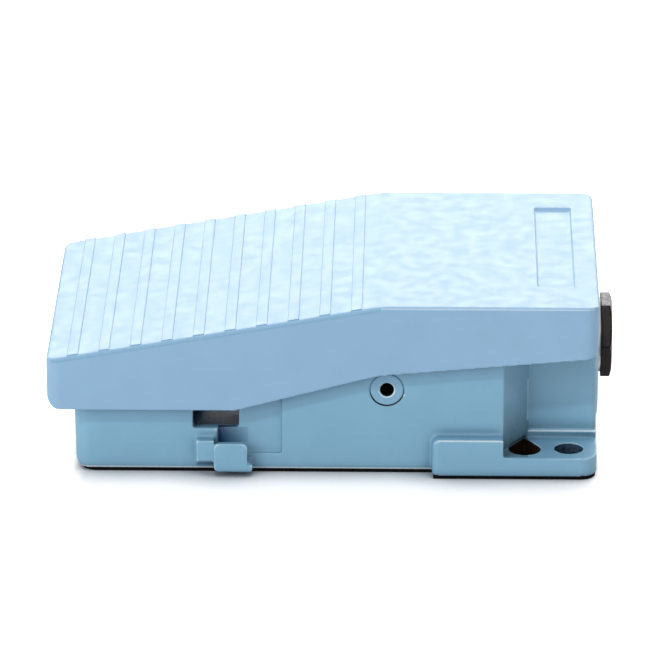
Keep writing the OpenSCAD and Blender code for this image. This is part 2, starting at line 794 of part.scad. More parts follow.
end_pad_x = toe_x + end_pad_from_toe;
end_pad_z = pressed_under_z(end_pad_x - pad_r) - seat_gap;

// Posts, bosses and the spring's cup in the open tray
module tray_posts() {
    for (side = [-1, 1])
        translate([end_pad_x, side*end_pad_y, base_t])
            cylinder(r = pad_r, h = end_pad_z - pad_t - base_t);
    for (p = tray_screw_places())
        translate([p.x, p.y, base_t]) cylinder(r = screw_boss_r, h = screw_boss_z - base_t);
    translate([spring_x, 0, base_t]) difference() {
        r = spring_mean_d/2 + spring_wire_d/2 + spring_cup_gap;
        cylinder(r = r + spring_cup_wall, h = floor_t + spring_cup_h);
        translate([0, 0, floor_t]) cylinder(r = r, h = spring_cup_h + over);
    }
}

// Bosses inside the chamber
module chamber_bosses() {
    pin_boss_r = pin_d/2 + pin_boss_wall;
    both_sides() rod_y(pivot_x, pivot_z, pin_boss_r, channel_in - pin_seat_l - chamber_wall/2, channel_in);
    both_sides() translate([rod_x, block_screw_y, block_z + block_h])
        cylinder(r = screw_boss_r, h = low_roof_z - chamber_wall/2 - block_z - block_h);
    translate([earth_x, earth_y, earth_boss_z])
        cylinder(r = earth_boss_r, h = high_roof_z - chamber_wall/2 - earth_boss_z);
    // the rear ones stay below the bosses of the cable entries
    for (p = chamber_screw_places()) {
        top = p.x > toe_x + alcove_front ? base_screw_l + screw_boss_end : screw_boss_z;
        translate([p.x, p.y, base_t]) cylinder(r = screw_boss_r, h = top - base_t);
    }
}

module housing_holes() {
    both_sides() {
        rod_y(pivot_x, pivot_z, pin_d/2 + fit_gap, channel_out - over, housing_w/2 + over);
        translate([pivot_x, housing_w/2, pivot_z]) rotate([90, 0, 0])
            cylinder(r1 = pin_d/2 + fit_gap + ring_chamfer, r2 = pin_d/2 + fit_gap, h = ring_chamfer);
        translate([toe_x + fix_hole_x, fix_hole_pitch/2, 0])
            cylinder(r = fix_hole_d/2, h = flange_z + over);
        drop_hole();
    }
    base_screw_holes(tray_screw_places());
}

module base_screw_holes(places) {
    for (p = places) translate([p.x, p.y, 0]) {
        cylinder(r = base_screw_d/2 + fit_gap, h = base_screw_l + seat_gap);
        screw_head_cone(base_t);
    }
}

module chamber_holes() {
    both_sides() rod_y(pivot_x, pivot_z, pin_d/2 + fit_gap, channel_in - pin_seat_l, channel_in + over);
    translate([rod_x, 0, low_roof_z - chamber_wall - over])
        cylinder(r = guide_thread_r + fit_gap, h = chamber_wall + 2*over);
    both_sides() translate([rod_x, block_screw_y, block_z + block_h - over])
        cylinder(r = block_screw_d/2 + fit_gap, h = over + block_screw_l - ear_tab_t + seat_gap);
    translate([earth_x, earth_y, earth_boss_z - over])
        cylinder(r = earth_screw_d/2 + fit_gap, h = over + earth_screw_l - earth_clamp_t + seat_gap);
    base_screw_holes(chamber_screw_places());
    gasket_ring(gasket_t, fit_gap);
}

// The countersink of a base plate screw
module screw_head_cone(high) {
    head_r = base_screw_d*screw_head_share;
    translate([0, 0, -over]) cylinder(r1 = head_r + over + fit_gap,
        r2 = base_screw_d/2 + fit_gap, h = over + head_r - base_screw_d/2);
}

// The ring that the gasket fills, in the chamber walls' lower face
module gasket_ring(h, gap) {
    mid = chamber_wall/2;
    outer = mid - gasket_w/2 - gap;
    inner = mid + gasket_w/2 + gap;
    x0 = toe_x + chamber_front;
    difference() {
        box([x0 + outer, -chamber_w/2 + outer, base_t - gap],
            [rear_x - outer, chamber_w/2 - outer, base_t + h]);
        box([x0 + inner, -chamber_w/2 + inner, base_t - over],
            [rear_x - inner, chamber_w/2 - inner, base_t + h + over]);
    }
}

module housing() {
    color("lightskyblue") difference() {
        union() {
            difference() {
                union() {
                    difference() {
                        wall_block();
                        tray_space();
                    }
                    both_sides() {
                        alcove_wall();
                        ear();
                    }
                    tray_posts();
                }
                both_sides() side_cuts();
            }
            both_sides() hooks();
        }
        chamber_block();
        housing_holes();
    }
}

// The sealed chamber is part of the casting, and a node of its own so that both rooms stay open
module chamber() {
    color("lightskyblue") difference() {
        union() {
            difference() {
                chamber_block();
                chamber_space();
            }
            chamber_bosses();
        }
        chamber_holes();
        entry_wall_form();
    }
}

// The chamber's rear wall with a boss round each cable entry
module entry_wall_form() {
    box([rear_x - chamber_wall, -room_w/2, base_t], [rear_x, room_w/2, high_roof_z - chamber_wall]);
    for (side = [-1, 1])
        rod_x_way(side*entry_pitch/2, entry_z, entry_boss_d/2, rear_x + entry_face_h - entry_l,
            rear_x + entry_face_h);
}

// The rear wall is part of the casting, and a node of its own so that its entries stay open
module entry_wall() {
    color("lightskyblue") difference() {
        entry_wall_form();
        for (side = [-1, 1])
            rod_x_way(side*entry_pitch/2, entry_z, entry_d/2, rear_x - entry_l - over,
                rear_x + entry_face_h + over);
        gasket_ring(gasket_t, fit_gap);
    }
}

module pivot_pins() {
    y0 = channel_in - pin_seat_l + seat_gap;
    y1 = housing_w/2 - pin_inset;
    color("skyblue") both_sides() difference() {
        rod_y(pivot_x, pivot_z, pin_d/2, y0, y1);
        rod_y(pivot_x, pivot_z, pin_tap_d/2, y1 - pin_tap_l, y1 + over);
        translate([pivot_x, y1, pivot_z]) rotate([90, 0, 0])
            cylinder(r1 = pin_tap_d/2 + pin_chamfer, r2 = pin_tap_d/2, h = pin_chamfer);
    }
}

module stop_pads() {
    color("dimgray") both_sides() {
        translate([end_pad_x, end_pad_y, end_pad_z - pad_t]) cylinder(r = pad_r, h = pad_t);
        translate([toe_x + rest_pad_from_toe, rest_pad_y, high_roof_z]) cylinder(r = pad_r, h = pad_t);
    }
}

module return_spring() {
    color("silver") translate([spring_x, 0, 0])
        wound_wire(spring_mean_d/2, spring_wire_d/2, floor_z + fit_gap, spring_top_z - fit_gap,
            spring_turns);
}

// Base

module base_plate() {
    w0 = housing_w/2 - base_inset;
    w1 = ear_w/2 - base_inset;
    x0 = toe_x + housing_front + front_draft + base_front_inset;
    x1 = toe_x + ear_front + base_inset;
    x2 = rear_x - base_inset;
    r0 = housing_corner_r - base_inset;
    r2 = ear_rear_r - base_inset;
    outline = rounded([
        [x0, -w0], [x1, -w0], [x1, -w1], [x2, -w1], [x2, w1], [x1, w1], [x1, w0], [x0, w0]],
        [r0, 0, 0, r2, r2, 0, 0, r0]);
    color("black") difference() {
        standing(outline, 0, base_t);
        both_sides() {
            translate([toe_x + fix_hole_x, fix_hole_pitch/2, -over])
                cylinder(r = fix_hole_d/2 + hole_margin, h = base_t + 2*over);
            translate([toe_x + drop_hole_x, drop_hole_pitch/2, -over])
                cylinder(r = drop_hole_d/2 + hole_margin, h = base_t + 2*over);
        }
        for (p = base_screw_places()) translate([p.x, p.y, 0]) {
            translate([0, 0, -over]) cylinder(r = base_screw_d/2 + fit_gap, h = base_t + 2*over);
            screw_head_cone(base_t);
        }
    }
}

module base_gasket() {
    color("dimgray") gasket_ring(gasket_t - fit_gap, 0);
}

module base_screws() {
    head_r = base_screw_d*screw_head_share;
    color("silver") for (p = base_screw_places()) translate([p.x, p.y, screw_head_gap]) difference() {
        union() {
            cylinder(r = base_screw_d/2, h = base_screw_l - screw_head_gap);
            cylinder(r1 = head_r - screw_head_gap, r2 = base_screw_d/2,
                h = head_r - screw_head_gap - base_screw_d/2);
        }
        cube([slot_w, 2*head_r*screw_core_share*2, 2*slot_depth], center = true);
        cube([2*head_r*screw_core_share*2, slot_w, 2*slot_depth], center = true);
    }
}

// Contact mechanism

module rod_guide() {
    flange_r = guide_flats/2/cos(30);
    below = chamber_wall + guide_drop;
    above = guide_flange_h + guide_spigot_h;
    color("goldenrod") translate([rod_x, 0, low_roof_z]) difference() {
        union() {
            translate([0, 0, -below]) cylinder(r = guide_thread_r, h = below);
            cylinder(r = flange_r, h = guide_flange_h, $fn = 6);
            cylinder(r = rod_d/2 + guide_spigot_wall, h = above);
        }
        translate([0, 0, -below - over]) cylinder(r = rod_d/2 + fit_gap, h = below + above + 2*over);
        difference() {
            translate([0, 0, -over])
                cylinder(r = ring_mean_r + ring_tube_r + fit_gap, h = over + 2*ring_tube_r + fit_gap);
            translate([0, 0, -2*over])
                cylinder(r = ring_mean_r - ring_tube_r - fit_gap, h = 4*over + 2*ring_tube_r);
        }
    }
}

module guide_ring() {
    color("black") translate([rod_x, 0, low_roof_z + ring_tube_r + fit_gap/2])
        rotate_extrude() translate([ring_mean_r, 0]) circle(r = ring_tube_r, $fn = 24);
}

rod_cap_z = striker_tip_z - seat_gap - rod_cap_t;
boot_low_z = low_roof_z + guide_flange_h;

// A rubber bellows from the guide's flange to the push rod's cap
module rod_boot() {
    inner = rod_d/2 + guide_spigot_wall + fit_gap;
    low = boot_low_z;
    high = rod_cap_z;
    foot = guide_spigot_h;
    step = (high - low - 2*foot)/(2*boot_folds);
    outside = [for (i = [0:2*boot_folds])
        [inner + boot_wall + (i % 2 == 1 ? boot_fold_depth : 0), low + foot + i*step]];
    inside = [for (i = [2*boot_folds:-1:0])
        [inner + (i % 2 == 1 ? boot_fold_depth : 0), low + foot + i*step]];
    color("black") translate([rod_x, 0, 0]) rotate_extrude()
        polygon(concat([[inner + boot_wall, low]], outside, [[inner + boot_wall, high - fit_gap],
            [rod_d/2 + fit_gap, high - fit_gap], [rod_d/2 + fit_gap, high - foot/2], [inner, high - foot/2]],
            inside, [[inner, low]]));
}

module push_rod() {
    color("silver") translate([rod_x, 0, 0]) {
        translate([0, 0, rod_bottom_z]) cylinder(r = rod_d/2, h = rod_cap_z + rod_cap_t/2 - rod_bottom_z);
        translate([0, 0, rod_cap_z]) cylinder(r = rod_cap_d/2, h = rod_cap_t);
    }
}

block_top_z = block_z + block_h;
plunger_top_z = block_top_z + plunger_rise;

module contact_block() {
    color("whitesmoke") translate([rod_x, 0, 0]) difference() {
        union() {
            box([-block_l/2, -block_w/2, block_z], [block_l/2, block_w/2, block_top_z]);
            both_sides() box([-ear_tab_l/2, block_w/2 - ear_tab_t, block_top_z - ear_tab_t],
                [ear_tab_l/2, block_w/2 + ear_tab_reach, block_top_z]);
        }
        for (end = [-1, 1]) for (side = [-1, 1]) {
            x0 = end*(block_l/2 - shelf_l);
            x1 = end*(block_l/2 + over);
            y0 = side*block_rib_t/2;
            y1 = side*(block_w/2 + over);
            box([min(x0, x1), min(y0, y1), block_z - over], [max(x0, x1), max(y0, y1), block_z + shelf_h]);
            translate([end*(block_l/2 - shelf_l/2), side*terminal_y, block_z])
                cylinder(r = terminal_screw_d/2 + fit_gap, h = shelf_h + terminal_screw_l + seat_gap);
        }
        translate([0, 0, block_z + plunger_bore_floor])
            cylinder(r = plunger_d/2 + fit_gap, h = block_h + over);
        translate([0, 0, block_top_z - rod_room_depth])
            cylinder(r = rod_d/2 + seat_gap, h = rod_room_depth + over);
        both_sides() translate([0, block_screw_y, block_top_z - ear_tab_t - over])
            cylinder(r = block_screw_d/2 + fit_gap, h = ear_tab_t + 2*over);
    }
}

module contact_plunger() {
    color("firebrick") translate([rod_x, 0, plunger_top_z - plunger_l])
        cylinder(r = plunger_d/2, h = plunger_l);
}

module plunger_spring() {
    color("silver") translate([rod_x, 0, 0])
        wound_wire(plunger_spring_d/2, plunger_wire_d/2, block_z + plunger_bore_floor + fit_gap,
            plunger_top_z - plunger_l - fit_gap, plunger_spring_turns);
}

module terminal_plates() {
    color("gold") translate([rod_x, 0, 0]) for (end = [-1, 1]) for (side = [-1, 1])
        translate([end*(block_l/2 - shelf_l/2), side*terminal_y, block_z + shelf_h - clamp_t]) difference() {
            translate([0, 0, clamp_t/2]) cube([clamp_l, clamp_w, clamp_t], center = true);
            translate([0, 0, -over]) cylinder(r = terminal_screw_d/2 + fit_gap, h = clamp_t + 2*over);
        }
}

module terminal_screws() {
    color("silver") translate([rod_x, 0, 0]) for (end = [-1, 1]) for (side = [-1, 1])
        translate([end*(block_l/2 - shelf_l/2), side*terminal_y, block_z + shelf_h - clamp_t])
            pan_screw(terminal_screw_d, terminal_screw_l, pan_head_h);
}

module block_screws() {
    color("silver") both_sides() translate([rod_x, block_screw_y, block_top_z - ear_tab_t])
        pan_screw(block_screw_d, block_screw_l, pan_head_h);
}

module earth_clamp() {
    color("gold") translate([earth_x, earth_y, earth_boss_z - earth_clamp_t/2]) difference() {
        cube([earth_clamp_w, earth_clamp_w, earth_clamp_t], center = true);
        cylinder(r = earth_screw_d/2 + fit_gap, h = 2*earth_clamp_t, center = true);
    }
}

module earth_screw() {
    color("silver") translate([earth_x, earth_y, earth_boss_z - earth_clamp_t])
        pan_screw(earth_screw_d, earth_screw_l, pan_head_h);
}

// Cable entry closure

entry_face_x = rear_x + entry_face_h;

module plug_washer() {
    color("ivory") difference() {
        rod_x_way(entry_pitch/2, entry_z, plug_flats/2, entry_face_x, entry_face_x + plug_washer_t);
        rod_x_way(entry_pitch/2, entry_z, entry_d/2, entry_face_x - over,
            entry_face_x + plug_washer_t + over);
    }
}

module blanking_plug() {
    head_x = entry_face_x + plug_washer_t;
    corner_r = plug_flats/2/cos(30);
    face_r = plug_flats/2*plug_face_share;
    chamfer_h = (corner_r - face_r)*tan(plug_chamfer);
    color("saddlebrown") translate([head_x, entry_pitch/2, entry_z]) rotate([0, 90, 0]) {
        intersection() {
            rotate([0, 0, plug_turn]) cylinder(r = corner_r, h = plug_head_t, $fn = 6);
            union() {
                cylinder(r = corner_r + over, h = plug_head_t - chamfer_h);
                translate([0, 0, plug_head_t - chamfer_h])
                    cylinder(r1 = corner_r, r2 = face_r, h = chamfer_h);
            }
        }
        difference() {
            translate([0, 0, -plug_washer_t - plug_shank_l])
                cylinder(r = entry_d/2 - fit_gap, h = plug_washer_t + plug_shank_l);
            translate([0, 0, -plug_washer_t - plug_shank_l - over])
                cylinder(r = entry_d/2 - plug_shank_wall, h = plug_washer_t + plug_shank_l + over);
        }
    }
}

pedal();
pivot_bushes();
striker_screw();
striker_nut();
housing();
chamber();
entry_wall();
pivot_pins();
stop_pads();
return_spring();
base_plate();
base_gasket();
base_screws();
rod_guide();
guide_ring();
rod_boot();
push_rod();
contact_plunger();
plunger_spring();
contact_block();
terminal_plates();
terminal_screws();
block_screws();
earth_clamp();
earth_screw();
plug_washer();
blanking_plug();
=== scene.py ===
import json
import math

import bmesh
import bpy
import numpy as np
from mathutils import Matrix, Vector


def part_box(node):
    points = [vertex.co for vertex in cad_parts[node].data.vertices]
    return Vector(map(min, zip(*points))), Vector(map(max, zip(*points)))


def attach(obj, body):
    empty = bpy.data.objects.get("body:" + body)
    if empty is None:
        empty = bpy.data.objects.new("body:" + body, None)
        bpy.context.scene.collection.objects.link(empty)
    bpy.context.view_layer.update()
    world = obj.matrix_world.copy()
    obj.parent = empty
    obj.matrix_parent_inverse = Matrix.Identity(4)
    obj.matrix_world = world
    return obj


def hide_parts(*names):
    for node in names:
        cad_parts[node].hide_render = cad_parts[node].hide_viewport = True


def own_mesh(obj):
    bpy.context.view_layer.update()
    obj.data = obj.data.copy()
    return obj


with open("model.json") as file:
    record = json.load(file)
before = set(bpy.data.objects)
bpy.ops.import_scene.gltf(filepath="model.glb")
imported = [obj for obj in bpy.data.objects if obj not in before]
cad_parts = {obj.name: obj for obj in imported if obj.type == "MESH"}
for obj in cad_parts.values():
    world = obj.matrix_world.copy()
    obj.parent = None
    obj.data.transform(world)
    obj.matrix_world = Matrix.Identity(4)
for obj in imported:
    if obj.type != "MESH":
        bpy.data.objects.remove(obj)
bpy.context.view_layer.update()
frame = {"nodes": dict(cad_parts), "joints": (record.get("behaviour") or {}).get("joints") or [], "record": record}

MM = 0.001


# Materials: each finish is a node tree that reads Object coordinates

def finish(name, colour, roughness, metallic=0.0):
    """A new material, with its node tree and its shader."""
    material = bpy.data.materials.new(name)
    material.use_nodes = True
    tree = material.node_tree
    shader = tree.nodes["Principled BSDF"]
    shader.inputs["Base Color"].default_value = (*colour, 1)
    shader.inputs["Roughness"].default_value = roughness
    shader.inputs["Metallic"].default_value = metallic
    return material, tree, shader


def noise(tree, scale, detail=2.0, roughness=0.5):
    """A noise texture on Object coordinates."""
    place = tree.nodes.new("ShaderNodeTexCoord").outputs["Object"]
    texture = tree.nodes.new("ShaderNodeTexNoise")
    texture.inputs["Scale"].default_value = scale
    texture.inputs["Detail"].default_value = detail
    texture.inputs["Roughness"].default_value = roughness
    tree.links.new(place, texture.inputs["Vector"])
    return texture.outputs["Fac"]


def ranged(tree, value, low, high, start=0.35, end=0.65):
    """Goes from low to high, or from high to low, while the value goes from start to end."""
    node = tree.nodes.new("ShaderNodeMapRange")
    node.inputs["From Min"].default_value = start
    node.inputs["From Max"].default_value = end
    node.inputs["To Min"].default_value = low
    node.inputs["To Max"].default_value = high
    tree.links.new(value, node.inputs["Value"])
    return node.outputs["Result"]


def between(tree, factor, first, second):
    """A colour between two colours."""
    node = tree.nodes.new("ShaderNodeMix")
    node.data_type = "RGBA"
    tree.links.new(factor, node.inputs["Factor"])
    for socket, colour in ((node.inputs["A"], first), (node.inputs["B"], second)):
        if isinstance(colour, tuple):
            socket.default_value = (*colour, 1)
        else:
            tree.links.new(colour, socket)
    return node.outputs["Result"]


def calc(tree, operation, first, second=0.0):
    """A sum on two values, each a number or a value from another node."""
    node = tree.nodes.new("ShaderNodeMath")
    node.operation = operation
    for socket, value in zip(node.inputs, (first, second)):
        if isinstance(value, (int, float)):
            socket.default_value = value
        else:
            tree.links.new(value, socket)
    return node.outputs[0]


def times(tree, *values):
    """The product of two or more values."""
    product, *others = values
    for value in others:
        product = calc(tree, "MULTIPLY", product, value)
    return product


def inside(tree, value, low, high):
    """1 where a value lies between two limits, and 0 elsewhere."""
    return times(tree, calc(tree, "GREATER_THAN", value, low), calc(tree, "LESS_THAN", value, high))


def place_parts(tree):
    """The X, the distance from the middle, and the Z of a point on the object."""
    split = tree.nodes.new("ShaderNodeSeparateXYZ")
    tree.links.new(tree.nodes.new("ShaderNodeTexCoord").outputs["Object"], split.inputs[0])
    return split.outputs["X"], calc(tree, "ABSOLUTE", split.outputs["Y"]), split.outputs["Z"]


def from_pivot(tree):
    """The distance of a point from the pedal's axis, and its height above that axis."""
    x, _, z = place_parts(tree)
    off_x = calc(tree, "SUBTRACT", x, PIVOT.x)
    off_z = calc(tree, "SUBTRACT", z, PIVOT.z)
    squares = calc(tree, "ADD", times(tree, off_x, off_x), times(tree, off_z, off_z))
    return calc(tree, "SQRT", squares), off_z


def in_block(tree, low, high):
    """1 inside a block on either side of the middle, given by two corners, and 0 outside."""
    return times(tree, *(inside(tree, *row) for row in zip(place_parts(tree), low, high)))


def bumps(tree, shader, layers):
    """Bump nodes in a row, one for each (height, strength, distance)."""
    normal = None
    for height, strength, distance in layers:
        node = tree.nodes.new("ShaderNodeBump")
        node.inputs["Strength"].default_value = strength
        node.inputs["Distance"].default_value = distance
        tree.links.new(height, node.inputs["Height"])
        if normal:
            tree.links.new(normal, node.inputs["Normal"])
        normal = node.outputs["Normal"]
    tree.links.new(normal, shader.inputs["Normal"])


def enamel(name, colour, edge_colour, edge_share=0.85):
    """Sprayed enamel on a casting: orange peel, faint clouds, and convex edges painted lighter, for paint wear and
    as a painted highlight.
    """
    material, tree, shader = finish(name, colour, 0.4)
    clouds = ranged(tree, noise(tree, 110, 3), 0, 1)
    specks = ranged(tree, noise(tree, 420, 2), 0, 0.6, 0.4, 0.7)
    darker = tuple(0.98 * part for part in colour)
    lighter = tuple(min(1.025 * part + 0.002, 1) for part in colour)
    base = between(tree, clouds, darker, lighter)
    base = between(tree, specks, base, colour)
    # Convex edges are painted paler: paint wear and a painted highlight.
    edge = tree.nodes.new("ShaderNodeNewGeometry").outputs["Pointiness"]
    base = between(tree, ranged(tree, edge, 0, edge_share, 0.52, 0.57), base, edge_colour)
    tree.links.new(base, shader.inputs["Base Color"])
    tree.links.new(ranged(tree, noise(tree, 240, 2), 0.36, 0.46), shader.inputs["Roughness"])
    bumps(tree, shader, [(noise(tree, 620, 2), 0.16, 0.12 * MM), (noise(tree, 1900, 1), 0.1, 0.03 * MM)])
    return material


def covered(material, mask, colour, uneven=0.3):
    """Lays another, uneven colour over a material where the mask is 1."""
    tree = material.node_tree
    shader = tree.nodes["Principled BSDF"]
    below = shader.inputs["Base Color"].links[0].from_socket
    darker = tuple(uneven * part for part in colour)
    layer = between(tree, ranged(tree, noise(tree, 900, 4), 0, 1), colour, darker)
    tree.links.new(between(tree, mask, below, layer), shader.inputs["Base Color"])
    return material


def trim_housing(material):
    """Painted shade in the pocket, the tray and the alcove, and painted highlights along edges."""
    tree = material.node_tree
    x, _, z = place_parts(tree)
    rear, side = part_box("housing")[1].x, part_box("housing")[1].y
    wall = side - 18.2 * MM
    corner = rear - 21.4 * MM
    ledge = wall + 1.2 * MM
    inner = 30 * MM
    # Painted shade inside the tray.
    covered(material, in_block(tree, TRAY_LOW, TRAY_HIGH), TRAY_SHADE_BLUE, 0.7)

    # Painted shade in the pocket above the large hook, darkest at the end towards the toe.
    pocket = in_block(tree, (-35.6 * MM, 44 * MM, 9.6 * MM), (-26.2 * MM, side - 4.8 * MM, 14.7 * MM))
    to_rear = ranged(tree, x, 1, 0.2, -35 * MM, -26.4 * MM)
    covered(material, times(tree, pocket, to_rear), POCKET_SHADE_BLUE, 0.8)

    # Painted shade on the alcove's slanted wall, darkest at its foot.
    slant = in_block(tree, (rear - 29.4 * MM, inner, 7 * MM), (corner, side - 1 * MM, 40 * MM))
    upwards = ranged(tree, z, 0.5, 0.1, 8 * MM, 24 * MM)
    covered(material, times(tree, slant, upwards), SLANT_SHADE_GREEN)

    # Painted shade at the foot of the alcove's back wall.
    low_wall = in_block(tree, (corner, inner, 9.9 * MM), (rear, wall + 0.7 * MM, 14 * MM))
    upwards = ranged(tree, z, 0.4, 0, 10 * MM, 14 * MM)
    covered(material, times(tree, low_wall, upwards), CORNER_SHADE_BLUE, 0.6)

    # Painted shade on the plinth, darker towards the rear.
    plinth = in_block(tree, (corner, inner, 7.25 * MM), (rear, ledge, 8.9 * MM))
    to_rear = ranged(tree, x, 0.15, 0.6, corner, rear)
    covered(material, times(tree, plinth, to_rear), CORNER_SHADE_BLUE, 0.6)

    # Painted highlights along the plinth's top edge, the alcove's corner, the ear block's top edge and the foot's
    # edge.
    plinth_edge = (corner, wall - 0.1 * MM, 9.15 * MM), (rear, ledge, 9.5 * MM)
    alcove_corner = (corner - 0.4 * MM, wall - 1 * MM, 13 * MM), (corner + 0.1 * MM, wall + 2 * MM, 27 * MM)
    ear_block_edge = (rear - 50 * MM, side - 0.8 * MM, 12.65 * MM), (rear - 29.5 * MM, side, 13 * MM)
    foot_edge = (-79 * MM, 45.6 * MM, 1 * MM), (rear - 50.5 * MM, side - 4.5 * MM, 1.75 * MM)
    for corners, share in ((plinth_edge, 0.8), (alcove_corner, 0.4), (ear_block_edge, 0.7), (foot_edge, 0.8)):
        covered(material, times(tree, in_block(tree, *corners), share), HIGHLIGHT_WHITE, 0.9)


def housing_enamel():
    """Enamel with painted shade in the corners, in the lower half of the gap round each pin and in the round
    holes; the drop-shaped holes are rust-brown bare metal, painted darker for the shade inside them.
    """
    rear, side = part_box("housing")[1].x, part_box("housing")[1].y
    drop_x = rear - 22.5 * MM
    round_x = rear - 8.7 * MM
    half_hole = 5.2 * MM
    hole_foot = 6.8 * MM
    material = enamel("base_blue_enamel", HOUSING_BLUE, PALE_BLUE)
    tree = material.node_tree
    # Painted shade in concave corners, from ambient occlusion, except in the tray.
    hidden = tree.nodes.new("ShaderNodeAmbientOcclusion")
    hidden.samples = 8
    hidden.inputs["Distance"].default_value = 5 * MM
    outside = calc(tree, "SUBTRACT", 1.0, in_block(tree, TRAY_LOW, TRAY_HIGH))
    corners = ranged(tree, hidden.outputs["AO"], 0.85, 0, 0.35, 0.9)
    covered(material, times(tree, corners, outside), CORNER_SHADE_BLUE, 0.8)
    trim_housing(material)
    # Painted shadow in the lower half of the gap round each pin.
    away, height = from_pivot(tree)
    gap = inside(tree, away, 4.9 * MM, 5.55 * MM)
    low_half = ranged(tree, height, 0.95, 0, -2.5 * MM, 0.8 * MM)
    covered(material, times(tree, gap, low_half), OIL_AND_SHADE_BLACK, 0.8)
    # Painted shade inside the round holes.
    round_hole = in_block(tree, (round_x - half_hole, side - 14 * MM, 0),
                          (round_x + half_hole, side - 3.6 * MM, hole_foot))
    # Rust-brown bare metal inside the drop-shaped holes, painted darker for the shade inside them.
    drop_hole = in_block(tree, (drop_x - half_hole, side - 17.5 * MM, 0),
                         (drop_x + half_hole, side - 2.6 * MM, hole_foot))
    covered(material, round_hole, HOLE_SHADE_BLUE)
    return covered(material, drop_hole, RUST_AND_SHADE_BROWN)


def pin_enamel():
    """The pins' enamel, with a pale ring round their tapped holes that is paint wear and a painted highlight on
    the chamfer, and tapped holes dark with oil and painted shade.
    """
    material = enamel("pin_enamel", PIN_BLUE, PIN_BLUE)
    tree = material.node_tree
    away, _ = from_pivot(tree)
    # Pale ring round each tapped hole: paint wear and a painted highlight on the chamfer.
    covered(material, calc(tree, "LESS_THAN", away, 2.62 * MM), PALE_BLUE, 0.9)
    # The tapped hole is dark with oil and with painted shade.
    return covered(material, calc(tree, "LESS_THAN", away, 2.2 * MM), OIL_AND_SHADE_BLACK)


def plated(name, colour, roughness):
    """Metal with fine marks and a little uneven colour."""
    material, tree, shader = finish(name, colour, roughness, 1.0)
    dull = tuple(0.72 * part for part in colour)
    tree.links.new(between(tree, ranged(tree, noise(tree, 300, 3), 0, 1), dull, colour),
                   shader.inputs["Base Color"])
    tree.links.new(ranged(tree, noise(tree, 900, 2), roughness - 0.08, roughness + 0.1),
                   shader.inputs["Roughness"])
    bumps(tree, shader, [(noise(tree, 1500, 3, 0.6), 0.12, 0.03 * MM)])
    return material


def moulded(name, colour, roughness, grain=0.1, gloss=0.5):
    """Plastic, rubber or a dull coating with a fine grain."""
    material, tree, shader = finish(name, colour, roughness)
    shader.inputs["Specular IOR Level"].default_value = gloss
    paler = tuple(min(1.25 * part + 0.003, 1) for part in colour)
    tree.links.new(between(tree, ranged(tree, noise(tree, 180, 4), 0, 1), colour, paler),
                   shader.inputs["Base Color"])
    tree.links.new(ranged(tree, noise(tree, 700, 2), roughness - 0.06, roughness + 0.1),
                   shader.inputs["Roughness"])
    bumps(tree, shader, [(noise(tree, 2200, 2), grain, 0.04 * MM)])
    return material


BLUE = (0.262, 0.45, 0.64)
HOUSING_BLUE = (0.215, 0.43, 0.588)
PIN_BLUE = (0.215, 0.42, 0.58)
# Pale colour for paint wear and painted highlights on edges.
PALE_BLUE = (0.62, 0.8, 0.9)
# Below: colours of painted shade and a painted highlight; the rust and oil colours are also made darker as painted
# shade.
TRAY_SHADE_BLUE = (0.11, 0.29, 0.46)
POCKET_SHADE_BLUE = (0.008, 0.04, 0.12)
CORNER_SHADE_BLUE = (0.05, 0.13, 0.21)
SLANT_SHADE_GREEN = (0.06, 0.1, 0.09)
HIGHLIGHT_WHITE = (0.8, 0.9, 0.95)
EDGE_SHADE_BLUE = (0.2, 0.4, 0.58)
HOLE_SHADE_BLUE = (0.05, 0.1, 0.17)
RUST_AND_SHADE_BROWN = (0.035, 0.015, 0.006)
OIL_AND_SHADE_BLACK = (0.006, 0.006, 0.008)
PIVOT = Vector(frame["joints"][0]["pos_m"])
TRAY_LOW = Vector((-70, -1, 4)) * MM
TRAY_HIGH = Vector((-16, 43, 34)) * MM
MATERIALS = {
    "cast_paint": enamel("light_blue_enamel", BLUE, PALE_BLUE, edge_share=0.2),
    "rib_paint": enamel("rib_blue_enamel", BLUE, BLUE),
    "housing_paint": housing_enamel(),
    "pin_paint": pin_enamel(),
    "base_paint": moulded("black_coated_sheet", (0.003, 0.003, 0.004), 0.8, grain=0.08, gloss=0.1),
    "bronze": plated("sintered_bronze", (0.5, 0.34, 0.17), 0.5),
    "brass": plated("turned_brass", (0.72, 0.53, 0.25), 0.3),
    "steel": plated("zinc_plated_steel", (0.62, 0.62, 0.63), 0.32),
    "spring_steel": plated("drawn_spring_wire", (0.4, 0.4, 0.42), 0.3),
    "rubber": moulded("black_rubber", (0.02, 0.02, 0.021), 0.62, grain=0.2),
    "plunger_plastic": moulded("red_plastic", (0.5, 0.05, 0.04), 0.4),
    "block_plastic": moulded("off_white_plastic", (0.72, 0.7, 0.64), 0.45),
    "washer_plastic": moulded("pale_washer_plastic", (0.8, 0.78, 0.72), 0.5),
    "plug_plastic": moulded("dark_brown_plastic", (0.014, 0.006, 0.005), 0.29, grain=0.08, gloss=0.17),
}


# Shapes

def merged(*nodes):
    """The CAD nodes' meshes as one clean bmesh, in which flat faces are whole again."""
    mesh = bmesh.new()
    for node in nodes:
        mesh.from_mesh(frame["nodes"][node].data)
    bmesh.ops.remove_doubles(mesh, verts=mesh.verts, dist=0.0015 * MM)
    return mesh


